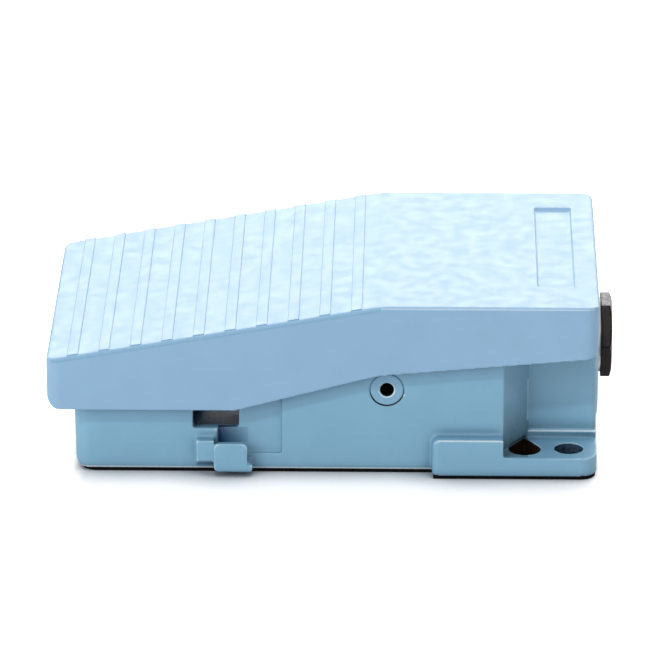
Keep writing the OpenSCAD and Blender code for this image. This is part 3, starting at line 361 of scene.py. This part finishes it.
def solids(node):
    """The lowest and the highest corner of each separate solid of a CAD node."""
    mesh = merged(node)
    left = set(mesh.verts)
    boxes = []
    while left:
        shell = [left.pop()]
        for vert in shell:
            for edge in vert.link_edges:
                other = edge.other_vert(vert)
                if other in left:
                    left.remove(other)
                    shell.append(other)
        boxes.append([Vector(pick(vert.co[axis] for vert in shell) for axis in range(3))
                      for pick in (min, max)])
    mesh.free()
    return sorted(boxes, key=lambda box: tuple(box[0]))


def added(name, data):
    """A new object in the scene."""
    piece = bpy.data.objects.new(name, data)
    bpy.context.scene.collection.objects.link(piece)
    return piece


def put(name, mesh):
    """A new piece from a bmesh."""
    data = bpy.data.meshes.new(name)
    mesh.to_mesh(data)
    mesh.free()
    return added(name, data)


def dress(piece, slot, body, finish_name=None):
    """Gives a piece its material and its body."""
    piece.data.materials.clear()
    piece.data.materials.append(MATERIALS[finish_name or slot])
    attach(piece, body)
    return piece


def smooth(piece):
    """Smooth shading on every face."""
    for face in piece.data.polygons:
        face.use_smooth = True
    return piece


def flat_shaded(piece):
    """Lets the large faces set the shading of the edges beside them."""
    flats = piece.modifiers.new("flats", "WEIGHTED_NORMAL")
    flats.weight = 80
    return baked(piece)


def baked(piece):
    """Turns the piece's modifiers into its mesh."""
    graph = bpy.context.evaluated_depsgraph_get()
    data = bpy.data.meshes.new_from_object(piece.evaluated_get(graph))
    piece.modifiers.clear()
    piece.data = data
    return piece


def thinned(piece, most):
    """Takes triangles out of the flat places until the piece has at most that many."""
    count = sum(len(face.vertices) - 2 for face in piece.data.polygons)
    if count > most:
        fewer = piece.modifiers.new("fewer", "DECIMATE")
        fewer.ratio = most / count
        baked(piece)
    return piece


def skinned(piece, grain, passes, most, reshape=None):
    """Puts a fine skin over a piece, whose edges and corners are soft."""
    skin = piece.modifiers.new("skin", "REMESH")
    skin.mode = "VOXEL"
    skin.voxel_size = grain
    soft = piece.modifiers.new("soft", "SMOOTH")
    soft.factor = 0.5
    soft.iterations = passes
    baked(piece)
    if reshape:
        reshape(piece)
    return flat_shaded(smooth(thinned(piece, most)))


def softened(name, nodes, slot, body, grain, passes, most, finish_name=None, reshape=None):
    """The CAD nodes as one piece with soft edges."""
    piece = skinned(put(name, merged(*nodes)), grain, passes, most, reshape)
    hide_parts(*nodes)
    return dress(piece, slot, body, finish_name)


def lathe(mesh, profile, place, closed=False, steps=96):
    """Turns a profile of (radius, height) points round a place's Z axis into a skin."""
    rings = []
    for radius, height in profile:
        if radius < 0.001 * MM:
            rings.append([mesh.verts.new(place @ Vector((0, 0, height)))])
            continue
        turns = [math.tau * step / steps for step in range(steps)]
        points = [Vector((radius * math.cos(turn), radius * math.sin(turn), height)) for turn in turns]
        rings.append([mesh.verts.new(place @ point) for point in points])
    if closed:
        rings.append(rings[0])
    for low, high in zip(rings, rings[1:]):
        for step in range(steps):
            after = step + 1
            corners = [low[step % len(low)], low[after % len(low)],
                       high[after % len(high)], high[step % len(high)]]
            mesh.faces.new(list(dict.fromkeys(corners)))
    bmesh.ops.recalc_face_normals(mesh, faces=mesh.faces)


def cut(piece, tool):
    """Takes the tool's shape out of a piece, and the tool out of the scene."""
    knife = piece.modifiers.new("cut", "BOOLEAN")
    knife.operation = "DIFFERENCE"
    knife.solver = "EXACT"
    knife.object = tool
    baked(piece)
    bpy.data.objects.remove(tool)
    return piece


def block(mesh, low, high):
    """A block between two corners."""
    low, high = Vector(low), Vector(high)
    place = Matrix.Translation((low + high) / 2)
    bmesh.ops.create_cube(mesh, size=1, matrix=place @ Matrix.Diagonal((*(high - low), 1)))


# Shapes that node trees grow

def shape_tree(name, inputs):
    """A node tree for a shape with named inputs; returns it with its input node."""
    tree = bpy.data.node_groups.new(name, "GeometryNodeTree")
    tree.interface.new_socket("Geometry", in_out="OUTPUT", socket_type="NodeSocketGeometry")
    for label, kind in {**inputs, "Material": "NodeSocketMaterial"}.items():
        tree.interface.new_socket(label, in_out="INPUT", socket_type=kind)
    return tree, tree.nodes.new("NodeGroupInput")


def step_node(tree, kind, links, **settings):
    """A node of a shape's tree: its settings, and what goes into its inputs."""
    node = tree.nodes.new(kind)
    for setting, value in settings.items():
        setattr(node, setting, value)
    for label, value in links.items():
        socket = node.inputs[label]
        if isinstance(value, bpy.types.NodeSocket):
            tree.links.new(value, socket)
        else:
            socket.default_value = value
    return node


def end_tree(tree, given, shape):
    """Makes the instances real, gives them the material and ends the tree."""
    real = step_node(tree, "GeometryNodeRealizeInstances", {"Geometry": shape})
    dressed = step_node(tree, "GeometryNodeSetMaterial",
                        {"Geometry": real.outputs[0], "Material": given.outputs["Material"]})
    tree.links.new(dressed.outputs[0], tree.nodes.new("NodeGroupOutput").inputs[0])
    return tree


def grown(name, data, tree, values):
    """A piece grown by a node tree from its named values, as a plain mesh."""
    piece = added(name, data)
    shape = piece.modifiers.new("shape", "NODES")
    shape.node_group = tree
    for item in tree.interface.items_tree:
        if item.in_out == "INPUT" and item.name in values:
            shape[item.identifier] = values[item.name]
    return baked(piece)


def coil_tree():
    """A wound spring on a foot, whose first and last turns lie closed."""
    tree, given = shape_tree("wound_spring", {
        "Foot": "NodeSocketVector", "Rise": "NodeSocketFloat", "Radius": "NodeSocketFloat",
        "Wire": "NodeSocketFloat", "Turns": "NodeSocketFloat"})
    get = given.outputs
    half = step_node(tree, "ShaderNodeMath", {0: get["Wire"], 1: 0.5}, operation="MULTIPLY").outputs[0]
    path = step_node(tree, "GeometryNodeCurveSpiral", {
        "Resolution": 30, "Rotations": get["Turns"], "Start Radius": get["Radius"],
        "End Radius": get["Radius"], "Height": 0.0})
    along = tree.nodes.new("GeometryNodeSplineParameter").outputs["Factor"]
    closed = step_node(tree, "ShaderNodeMath", {0: get["Wire"], 1: get["Turns"]}, operation="MULTIPLY")
    open_rise = step_node(tree, "ShaderNodeMath", {0: get["Rise"], 1: closed.outputs[0]},
                          operation="SUBTRACT")
    one_turn = step_node(tree, "ShaderNodeMath", {0: 1.0, 1: get["Turns"]}, operation="DIVIDE")
    end = step_node(tree, "ShaderNodeMath", {0: 1.0, 1: one_turn.outputs[0]}, operation="SUBTRACT")
    share = step_node(tree, "ShaderNodeMapRange", {
        "Value": along, "From Min": one_turn.outputs[0], "From Max": end.outputs[0]})
    closed_part = step_node(tree, "ShaderNodeMath", {0: closed.outputs[0], 1: along}, operation="MULTIPLY")
    height = step_node(tree, "ShaderNodeMath", {0: open_rise.outputs[0], 1: share.outputs[0],
                                                2: closed_part.outputs[0]}, operation="MULTIPLY_ADD")
    lift = step_node(tree, "ShaderNodeCombineXYZ", {"Z": height.outputs[0]})
    raised = step_node(tree, "GeometryNodeSetPosition", {
        "Geometry": path.outputs[0], "Offset": lift.outputs[0]})
    section = step_node(tree, "GeometryNodeCurvePrimitiveCircle", {"Resolution": 12, "Radius": half})
    wire = step_node(tree, "GeometryNodeCurveToMesh", {
        "Curve": raised.outputs[0], "Profile Curve": section.outputs[0], "Fill Caps": True})
    round_wire = step_node(tree, "GeometryNodeSetShadeSmooth", {"Geometry": wire.outputs[0]})
    seated = step_node(tree, "GeometryNodeTransform", {
        "Geometry": round_wire.outputs[0], "Translation": get["Foot"]})
    return end_tree(tree, given, seated.outputs[0])


def screws_tree():
    """Copies of one screw on the object's points, each turned by chance round its own axis."""
    tree, given = shape_tree("driven_screws", {
        "Places": "NodeSocketGeometry", "Screw": "NodeSocketObject", "Seed": "NodeSocketInt"})
    screw = step_node(tree, "GeometryNodeObjectInfo", {"Object": given.outputs["Screw"], "As Instance": True})
    turn = step_node(tree, "FunctionNodeRandomValue", {"Seed": given.outputs["Seed"]},
                     data_type="FLOAT_VECTOR")
    turn.inputs["Min"].default_value = (0, 0, 0)
    turn.inputs["Max"].default_value = (0, 0, math.pi)
    set_in = step_node(tree, "GeometryNodeInstanceOnPoints", {
        "Points": given.outputs["Places"], "Instance": screw.outputs["Geometry"],
        "Rotation": turn.outputs["Value"]})
    return end_tree(tree, given, set_in.outputs[0])


def ribs_tree():
    """Low bars across a slope, in a row, each with soft edges and rounded ends."""
    tree, given = shape_tree("tread_ribs", {
        "Count": "NodeSocketInt", "First": "NodeSocketVector", "Pitch": "NodeSocketVector",
        "Slope": "NodeSocketFloat", "Length": "NodeSocketFloat", "Foot width": "NodeSocketFloat",
        "Top width": "NodeSocketFloat", "Height": "NodeSocketFloat", "Edge": "NodeSocketFloat",
        "End": "NodeSocketFloat"})
    get = given.outputs
    half = step_node(tree, "ShaderNodeMath", {0: get["Length"], 1: 0.5}, operation="MULTIPLY").outputs[0]
    other_half = step_node(tree, "ShaderNodeMath", {0: half, 1: -1.0}, operation="MULTIPLY").outputs[0]
    line = step_node(tree, "GeometryNodeCurvePrimitiveLine", {
        "Start": step_node(tree, "ShaderNodeCombineXYZ", {"Y": other_half}).outputs[0],
        "End": step_node(tree, "ShaderNodeCombineXYZ", {"Y": half}).outputs[0]})
    path = step_node(tree, "GeometryNodeResampleCurve", {"Curve": line.outputs[0], "Count": 260})
    along = tree.nodes.new("GeometryNodeSplineParameter").outputs["Factor"]
    back = step_node(tree, "ShaderNodeMath", {0: 1.0, 1: along}, operation="SUBTRACT").outputs[0]
    nearest = step_node(tree, "ShaderNodeMath", {0: along, 1: back}, operation="MINIMUM").outputs[0]
    from_end = step_node(tree, "ShaderNodeMath", {0: nearest, 1: get["Length"]},
                         operation="MULTIPLY").outputs[0]
    inner = step_node(tree, "ShaderNodeMapRange", {"Value": from_end, "From Max": get["End"],
                                                   "To Min": 1.0, "To Max": 0.0}).outputs[0]
    square = step_node(tree, "ShaderNodeMath", {0: inner, 1: inner}, operation="MULTIPLY").outputs[0]
    rest = step_node(tree, "ShaderNodeMath", {0: 1.0, 1: square}, operation="SUBTRACT").outputs[0]
    swell = step_node(tree, "ShaderNodeMath", {0: rest}, operation="SQRT").outputs[0]
    section = step_node(tree, "GeometryNodeCurvePrimitiveQuadrilateral", {
        "Height": get["Height"], "Bottom Width": get["Foot width"], "Top Width": get["Top width"],
        "Offset": 0.0}, mode="TRAPEZOID")
    eased = step_node(tree, "GeometryNodeFilletCurve", {
        "Curve": section.outputs[0], "Radius": get["Edge"], "Count": 4}, mode="POLY")
    swelled = step_node(tree, "GeometryNodeSetCurveRadius", {"Curve": path.outputs[0], "Radius": swell})
    bar = step_node(tree, "GeometryNodeCurveToMesh", {
        "Curve": swelled.outputs[0], "Profile Curve": eased.outputs[0], "Fill Caps": True})
    row = step_node(tree, "GeometryNodeMeshLine", {
        "Count": get["Count"], "Start Location": get["First"], "Offset": get["Pitch"]})
    placed = step_node(tree, "GeometryNodeInstanceOnPoints", {
        "Points": row.outputs[0], "Instance": bar.outputs[0],
        "Rotation": step_node(tree, "ShaderNodeCombineXYZ", {"Y": get["Slope"]}).outputs[0]})
    return end_tree(tree, given, placed.outputs[0])


COIL = coil_tree()
SCREWS = screws_tree()
RIBS = ribs_tree()


# Castings

TREAD_SLOPE = math.radians(10)
PEDAL_LOW, PEDAL_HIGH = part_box("pedal")
CREST_X = PEDAL_LOW.x + 104.3 * MM


def trim_pedal(material):
    """A painted shade line along the tread's side edges and a painted highlight along the flat's."""
    tree = material.node_tree
    x, y, z = place_parts(tree)
    before = calc(tree, "MAXIMUM", calc(tree, "SUBTRACT", CREST_X, x), 0.0)
    top = calc(tree, "SUBTRACT", PEDAL_HIGH.z, times(tree, before, math.tan(TREAD_SLOPE)))
    depth = calc(tree, "SUBTRACT", top, z)
    edge = calc(tree, "GREATER_THAN", y, PEDAL_HIGH.y - 1.1 * MM)
    on_flat = calc(tree, "GREATER_THAN", x, CREST_X)
    on_slope = calc(tree, "SUBTRACT", 1.0, on_flat)
    # Painted shade on the tread's side edges, painted highlight on the flat's.
    for place, first, last, colour, share in ((on_slope, 0.2, 1.3, EDGE_SHADE_BLUE, 0.7),
                                              (on_flat, 0.35, 0.65, HIGHLIGHT_WHITE, 0.35)):
        band = inside(tree, depth, first * MM, last * MM)
        covered(material, times(tree, band, edge, place, share), colour, 0.9)


def level_tread(piece):
    """Brings the skin of the tread and of the flat to their planes and to the round of the side edges."""
    count = len(piece.data.vertices)
    places = np.empty(3 * count)
    piece.data.vertices.foreach_get("co", places)
    places.shape = (count, 3)
    x, y, z = places.T
    edge_round = 1.3 * MM
    slack = 0.15 * MM
    plane = PEDAL_HIGH.z - np.maximum(CREST_X - x, 0) * math.tan(TREAD_SLOPE)
    past = np.clip(np.abs(y) - (PEDAL_HIGH.y - edge_round), 0, edge_round)
    level = plane - edge_round + np.sqrt(edge_round**2 - past**2)
    on_top = (x > PEDAL_LOW.x + 4 * MM) & (x < PEDAL_HIGH.x - 4 * MM) & (np.abs(x - CREST_X) > 4 * MM)
    on_tread = (z > level - slack) & on_top
    z[on_tread] = level[on_tread]
    piece.data.vertices.foreach_set("co", places.ravel())
    piece.data.update()


def tread_ribs():
    """Ten low ribs across the tread, which run out just before its side edges."""
    first_from_toe = 8.4 * MM
    pitch = 9.81 * MM
    height = 0.85 * MM
    sunk = 0.05 * MM
    first = Vector((PEDAL_LOW.x + first_from_toe, 0, 0))
    first.z = PEDAL_HIGH.z - (CREST_X - first.x) * math.tan(TREAD_SLOPE) - sunk
    piece = grown("tread_ribs", bpy.data.meshes.new("tread_ribs"), RIBS, {
        "Count": 10, "First": tuple(first), "Pitch": (pitch, 0, pitch * math.tan(TREAD_SLOPE)),
        "Slope": -TREAD_SLOPE, "Length": PEDAL_HIGH.y * 2 - 2.2 * MM, "Foot width": 4.2 * MM,
        "Top width": 2.8 * MM, "Height": height, "Edge": 0.3 * MM, "End": 2.6 * MM,
        "Material": MATERIALS["rib_paint"]})
    return dress(smooth(piece), "cast_paint", "rocker", "rib_paint")


trim_pedal(MATERIALS["cast_paint"])
softened("pedal_casting", ["pedal"], "cast_paint", "rocker",
         grain=0.4 * MM, passes=4, most=190000, reshape=level_tread)
tread_ribs()
softened("housing_casting", ["housing", "chamber", "entry_wall"], "cast_paint", "base",
         grain=0.4 * MM, passes=3, most=190000, finish_name="housing_paint")


# Pivot pins and blanking plug

def pivot_pins():
    """Pins that stand a little out of the side walls, with rounded rims and tapped ends."""
    low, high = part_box("pivot_pins")
    rise = 0.15 * MM
    radius = (high.z - low.z) / 2 + rise
    tap = 2.1 * MM
    chamfer = 0.5 * MM
    depth = 10 * MM
    rim = 0.35 * MM
    proud = 0.3 * MM
    inner = min(abs(corner.y) for box in solids("pivot_pins") for corner in box)
    end = high.y + proud
    mesh = bmesh.new()
    for side in (-1, 1):
        out = Matrix.Translation((PIVOT.x, 0, PIVOT.z + rise)) @ Matrix.Rotation(-side * math.pi / 2, 4, "X")
        profile = [(0, inner), (radius - rim, inner), (radius, inner + rim), (radius, end - rim),
                   (radius - 0.1 * rim, end - 0.5 * rim), (radius - 0.5 * rim, end - 0.1 * rim),
                   (radius - rim, end), (radius - 1.2 * rim, end), (tap + 1.2 * chamfer, end),
                   (tap + chamfer, end), (tap, end - chamfer), (tap, end - depth), (0, end - depth - tap / 2)]
        lathe(mesh, profile, out)
    piece = put("pivot_pins_turned", mesh)
    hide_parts("pivot_pins")
    return dress(flat_shaded(smooth(piece)), "pin_paint", "base")


def bevelled(piece, width):
    """Rounds a piece's sharp edges."""
    edge = piece.modifiers.new("edge", "BEVEL")
    edge.width = width
    edge.segments = 3
    edge.limit_method = "ANGLE"
    edge.angle_limit = math.radians(25)
    return baked(piece)


def blanking_plug():
    """A hexagon head with a chamfered face, a hollow shank, and soft edges."""
    low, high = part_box("blanking_plug")
    washer_low, washer_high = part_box("plug_washer")
    middle = (washer_low + washer_high) / 2
    head = high.x - washer_high.x
    flats = 12 * MM
    corner = flats / math.cos(math.pi / 6)
    turn = math.radians(27)
    face = 0.97 * flats
    chamfer = (corner - face) * math.tan(math.radians(16))
    shank = 10.55 * MM
    wall = 1.6 * MM
    out = Matrix.Translation((0, middle.y, middle.z)) @ Matrix.Rotation(math.pi / 2, 4, "Y")
    mesh = bmesh.new()
    lathe(mesh, [(0, washer_high.x), (corner, washer_high.x), (corner, high.x), (0, high.x)],
          out @ Matrix.Rotation(turn, 4, "Z"), steps=6)
    piece = put("blanking_plug_moulded", mesh)
    mesh = bmesh.new()
    over = 2 * MM
    lathe(mesh, [(corner + over, high.x + over), (face, high.x + over), (face, high.x),
                 (corner, high.x - chamfer), (corner + over, high.x - chamfer)], out, closed=True)
    cut(piece, put("chamfer_ring", mesh))
    mesh = bmesh.new()
    mesh.from_mesh(piece.data)
    lathe(mesh, [(0, high.x - head / 2), (shank, high.x - head / 2), (shank, low.x), (shank - wall, low.x),
                 (shank - wall, washer_high.x - 0.1 * MM), (0, washer_high.x - 0.1 * MM)], out)
    mesh.to_mesh(piece.data)
    mesh.free()
    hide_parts("blanking_plug")
    return dress(skinned(piece, grain=0.22 * MM, passes=2, most=40000), "plug_plastic", "base")


pivot_pins()
blanking_plug()
softened("plug_washer_ring", ["plug_washer"], "washer_plastic", "base",
         grain=0.2 * MM, passes=2, most=12000)


# Springs, bellows and rubber

def spring(name, node, wire, turns):
    """A wound spring in the space of its CAD node."""
    low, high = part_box(node)
    piece = grown(name, bpy.data.meshes.new(name), COIL, {
        "Foot": ((low.x + high.x) / 2, (low.y + high.y) / 2, low.z + wire / 2),
        "Rise": high.z - low.z - wire, "Radius": (high.x - low.x - wire) / 2,
        "Wire": wire, "Turns": float(turns), "Material": MATERIALS["spring_steel"]})
    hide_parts(node)
    return dress(piece, "spring_steel", "base")


def bellows():
    """A rubber bellows with round folds, between two plain collars."""
    low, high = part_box("rod_boot")
    centre = (low + high) / 2
    inner = 4.15 * MM
    wall = 0.9 * MM
    fold = 2 * MM
    folds = 3
    collar = 1.6 * MM
    rim = 0.3 * MM
    stretch = high.z - low.z - 2 * collar
    steps = 12 * folds
    waves = [(step / steps, 0.5 - 0.5 * math.cos(math.tau * folds * step / steps))
             for step in range(steps + 1)]
    outside = [(inner + wall + fold * wave, low.z + collar + stretch * share) for share, wave in waves]
    inward = [(inner + fold * wave, low.z + collar + stretch * share) for share, wave in reversed(waves)]
    lip = 2.6 * MM
    profile = [(inner + wall, low.z), *outside, (inner + wall, high.z - rim), (inner + wall - rim, high.z),
               (lip, high.z), (lip, high.z - collar / 2), (inner, high.z - collar / 2),
               *inward, (inner, low.z)]
    mesh = bmesh.new()
    lathe(mesh, profile, Matrix.Translation((centre.x, centre.y, 0)), closed=True, steps=64)
    piece = put("rod_bellows", mesh)
    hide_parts("rod_boot")
    return dress(smooth(piece), "rubber", "base")


return_coil = spring("return_coil", "return_spring", 2 * MM, 9)
plunger_coil = spring("plunger_coil", "plunger_spring", 0.5 * MM, 6)
boot = bellows()
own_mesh(return_coil)
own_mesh(boot)
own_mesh(plunger_coil)
softened("stop_pads_moulded", ["stop_pads"], "rubber", "base", grain=0.25 * MM, passes=3, most=16000)
softened("base_gasket_cut", ["base_gasket"], "rubber", "base", grain=0.25 * MM, passes=1, most=30000)
softened("guide_ring_moulded", ["guide_ring"], "rubber", "base", grain=0.12 * MM, passes=2, most=12000)


# Screws

def screw_pattern(box, shank, head, flush):
    """One screw with its head down at the origin, sized from the first solid of its CAD node."""
    low, high = box
    radius = (high.x - low.x) / 2
    height = high.z - low.z
    slot_w = 0.9 * MM
    slot_depth = 1.1 * MM
    tip = 0.5 * MM
    body = [(shank, height - tip), (shank - tip, height), (0, height)]
    if flush:
        crown = [(0, 0), (radius - 0.15 * MM, 0), (radius, 0.15 * MM), (shank, radius - shank)]
    else:
        crown = [(0, 0), (0.7 * radius, 0.05 * head), (0.92 * radius, 0.25 * head), (radius, 0.55 * head),
                 (radius, head), (shank, head)]
    mesh = bmesh.new()
    lathe(mesh, crown + body, Matrix.Identity(4), steps=48)
    screw = put("screw_pattern", mesh)
    mesh = bmesh.new()
    reach = 0.62 * radius if flush else 2 * radius
    block(mesh, (-reach, -slot_w / 2, -slot_depth), (reach, slot_w / 2, slot_depth))
    cut(screw, put("slot_cutter", mesh))
    if flush:
        mesh = bmesh.new()
        block(mesh, (-slot_w / 2, -reach, -slot_depth), (slot_w / 2, reach, slot_depth))
        cut(screw, put("slot_cutter", mesh))
    return smooth(bevelled(screw, 0.08 * MM))


def screws(name, node, shank, head=0.0, flush=False, seed=1):
    """The screws of a CAD node, copies of one pattern, each with its slot turned its own way."""
    boxes = solids(node)
    pattern = screw_pattern(boxes[0], shank, head, flush)
    places = bpy.data.meshes.new(name)
    places.from_pydata([((low.x + high.x) / 2, (low.y + high.y) / 2, low.z) for low, high in boxes], [], [])
    piece = grown(name, places, SCREWS, {"Screw": pattern, "Seed": seed, "Material": MATERIALS["steel"]})
    bpy.data.objects.remove(pattern)
    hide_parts(node)
    return dress(piece, "steel", "base")


screws("base_screws_flush", "base_screws", 2 * MM, flush=True, seed=3)
screws("terminal_screws_pan", "terminal_screws", 1.5 * MM, 2.4 * MM, seed=5)
screws("block_screws_pan", "block_screws", 2 * MM, 2.4 * MM, seed=7)
screws("earth_screw_pan", "earth_screw", 2 * MM, 2.4 * MM, seed=9)

# Every CAD node gets the material of its slot

for part in frame["record"]["subparts"]:
    shown = frame["nodes"][part["node"]]
    shown.data.materials.clear()
    shown.data.materials.append(MATERIALS[part["material_slot"]])


# Floor, lamps and camera

def floor_material():
    """A pale floor that glows for the camera and a little in gloss, but not close under the object, where its
    colour is painted darker as shadow.

    It glows most beyond the toe and the rear of the housing, which paints out the object's shadow there.
    """
    material, tree, shader = finish("pale_floor", (0.86, 0.86, 0.87), 0.9)
    shader.inputs["Specular IOR Level"].default_value = 0.1
    open_sky = tree.nodes.new("ShaderNodeAmbientOcclusion")
    open_sky.samples = 8
    open_sky.inputs["Distance"].default_value = 13 * MM
    x = place_parts(tree)[0]
    toe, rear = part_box("housing")[0].x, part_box("housing")[1].x
    # The glow is stronger beyond the toe and the rear, which paints out the object's shadow there.
    beyond = calc(tree, "MAXIMUM", ranged(tree, x, 1, 0, toe - 2 * MM, toe + 3 * MM),
                  ranged(tree, x, 0, 1, rear - 3 * MM, rear + 2 * MM))
    near = calc(tree, "MAXIMUM", ranged(tree, open_sky.outputs["AO"], 0, 1, 0.35, 0.97), beyond)
    # Painted shadow: the floor's colour is darker close under the object.
    tree.links.new(between(tree, near, (0.33, 0.37, 0.41), (0.86, 0.86, 0.87)), shader.inputs["Base Color"])
    glow = tree.nodes.new("ShaderNodeEmission")
    rays = tree.nodes.new("ShaderNodeLightPath")
    seen = times(tree, rays.outputs["Is Camera Ray"], ranged(tree, beyond, 0.35, 0.9, 0, 1))
    mirrored = times(tree, rays.outputs["Is Glossy Ray"], 0.24)
    level = times(tree, calc(tree, "MAXIMUM", seen, mirrored), near)
    tree.links.new(level, glow.inputs["Strength"])
    both = tree.nodes.new("ShaderNodeAddShader")
    tree.links.new(shader.outputs[0], both.inputs[0])
    tree.links.new(glow.outputs[0], both.inputs[1])
    tree.links.new(both.outputs[0], tree.nodes["Material Output"].inputs["Surface"])
    return material


def lamp(name, place, target, size, watts):
    """A rectangular lamp that points at its target."""
    light = bpy.data.lights.new(name, "AREA")
    light.shape = "RECTANGLE"
    light.size, light.size_y = size
    light.energy = watts
    holder = bpy.data.objects.new(name, light)
    bpy.context.scene.collection.objects.link(holder)
    holder.location = place
    aim = Vector(target) - Vector(place)
    holder.rotation_euler = aim.to_track_quat("-Z", "Y").to_euler()


def set_stage():
    """The floor, the light all round and the lamps."""
    bpy.ops.mesh.primitive_plane_add(size=8, location=(0, 0, 0))
    floor = bpy.context.object
    floor.name = "pale_floor"
    floor.data.materials.append(floor_material())
    set_world()
    lamp("top_softbox", (0.0, 0.15, 1.3), (0, 0, 0), (1.3, 1.1), 7)
    lamp("rear_softbox", (0.2, 1.75, 0.78), (0, 0, 0.04), (2.4, 0.8), 25.5)
    lamp("side_softbox", (-1.3, -1.4, 0.8), (0, 0, 0.03), (1.2, 1.0), 16)
    lamp("key_light", (-0.1, -1.5, 1.85), (0, 0, 0.03), (0.12, 0.12), 11)


def set_world():
    """White for the camera; as light it is dimmer, and gloss finds it white behind and dark in front."""
    world = bpy.data.worlds.new("studio")
    bpy.context.scene.world = world
    world.use_nodes = True
    tree = world.node_tree
    back = tree.nodes["Background"]
    back.inputs["Color"].default_value = (1, 1, 1, 1)
    rays = tree.nodes.new("ShaderNodeLightPath").outputs
    way = tree.nodes.new("ShaderNodeSeparateXYZ")
    tree.links.new(tree.nodes.new("ShaderNodeTexCoord").outputs["Generated"], way.inputs[0])
    gloss = times(tree, rays["Is Glossy Ray"], ranged(tree, way.outputs["Y"], 0.1, 1.0, -0.6, 0.5))
    seen = calc(tree, "MAXIMUM", rays["Is Camera Ray"], rays["Is Transmission Ray"])
    lit = times(tree, rays["Is Diffuse Ray"], 0.3)
    level = calc(tree, "MAXIMUM", calc(tree, "MAXIMUM", seen, gloss), lit)
    tree.links.new(level, back.inputs["Strength"])


def set_camera():
    """A long lens that looks a little down on the near side."""
    data = bpy.data.cameras.new("camera")
    data.sensor_width = 36
    data.lens = 310.84
    data.clip_end = 20
    camera = bpy.data.objects.new("camera", data)
    bpy.context.scene.collection.objects.link(camera)
    camera.location = (0.02851, -1.70297, 0.70624)
    camera.rotation_euler = (math.radians(68.3), 0, math.radians(0.978))
    bpy.context.scene.camera = camera


set_stage()
set_camera()
bpy.context.scene.view_settings.view_transform = "Standard"
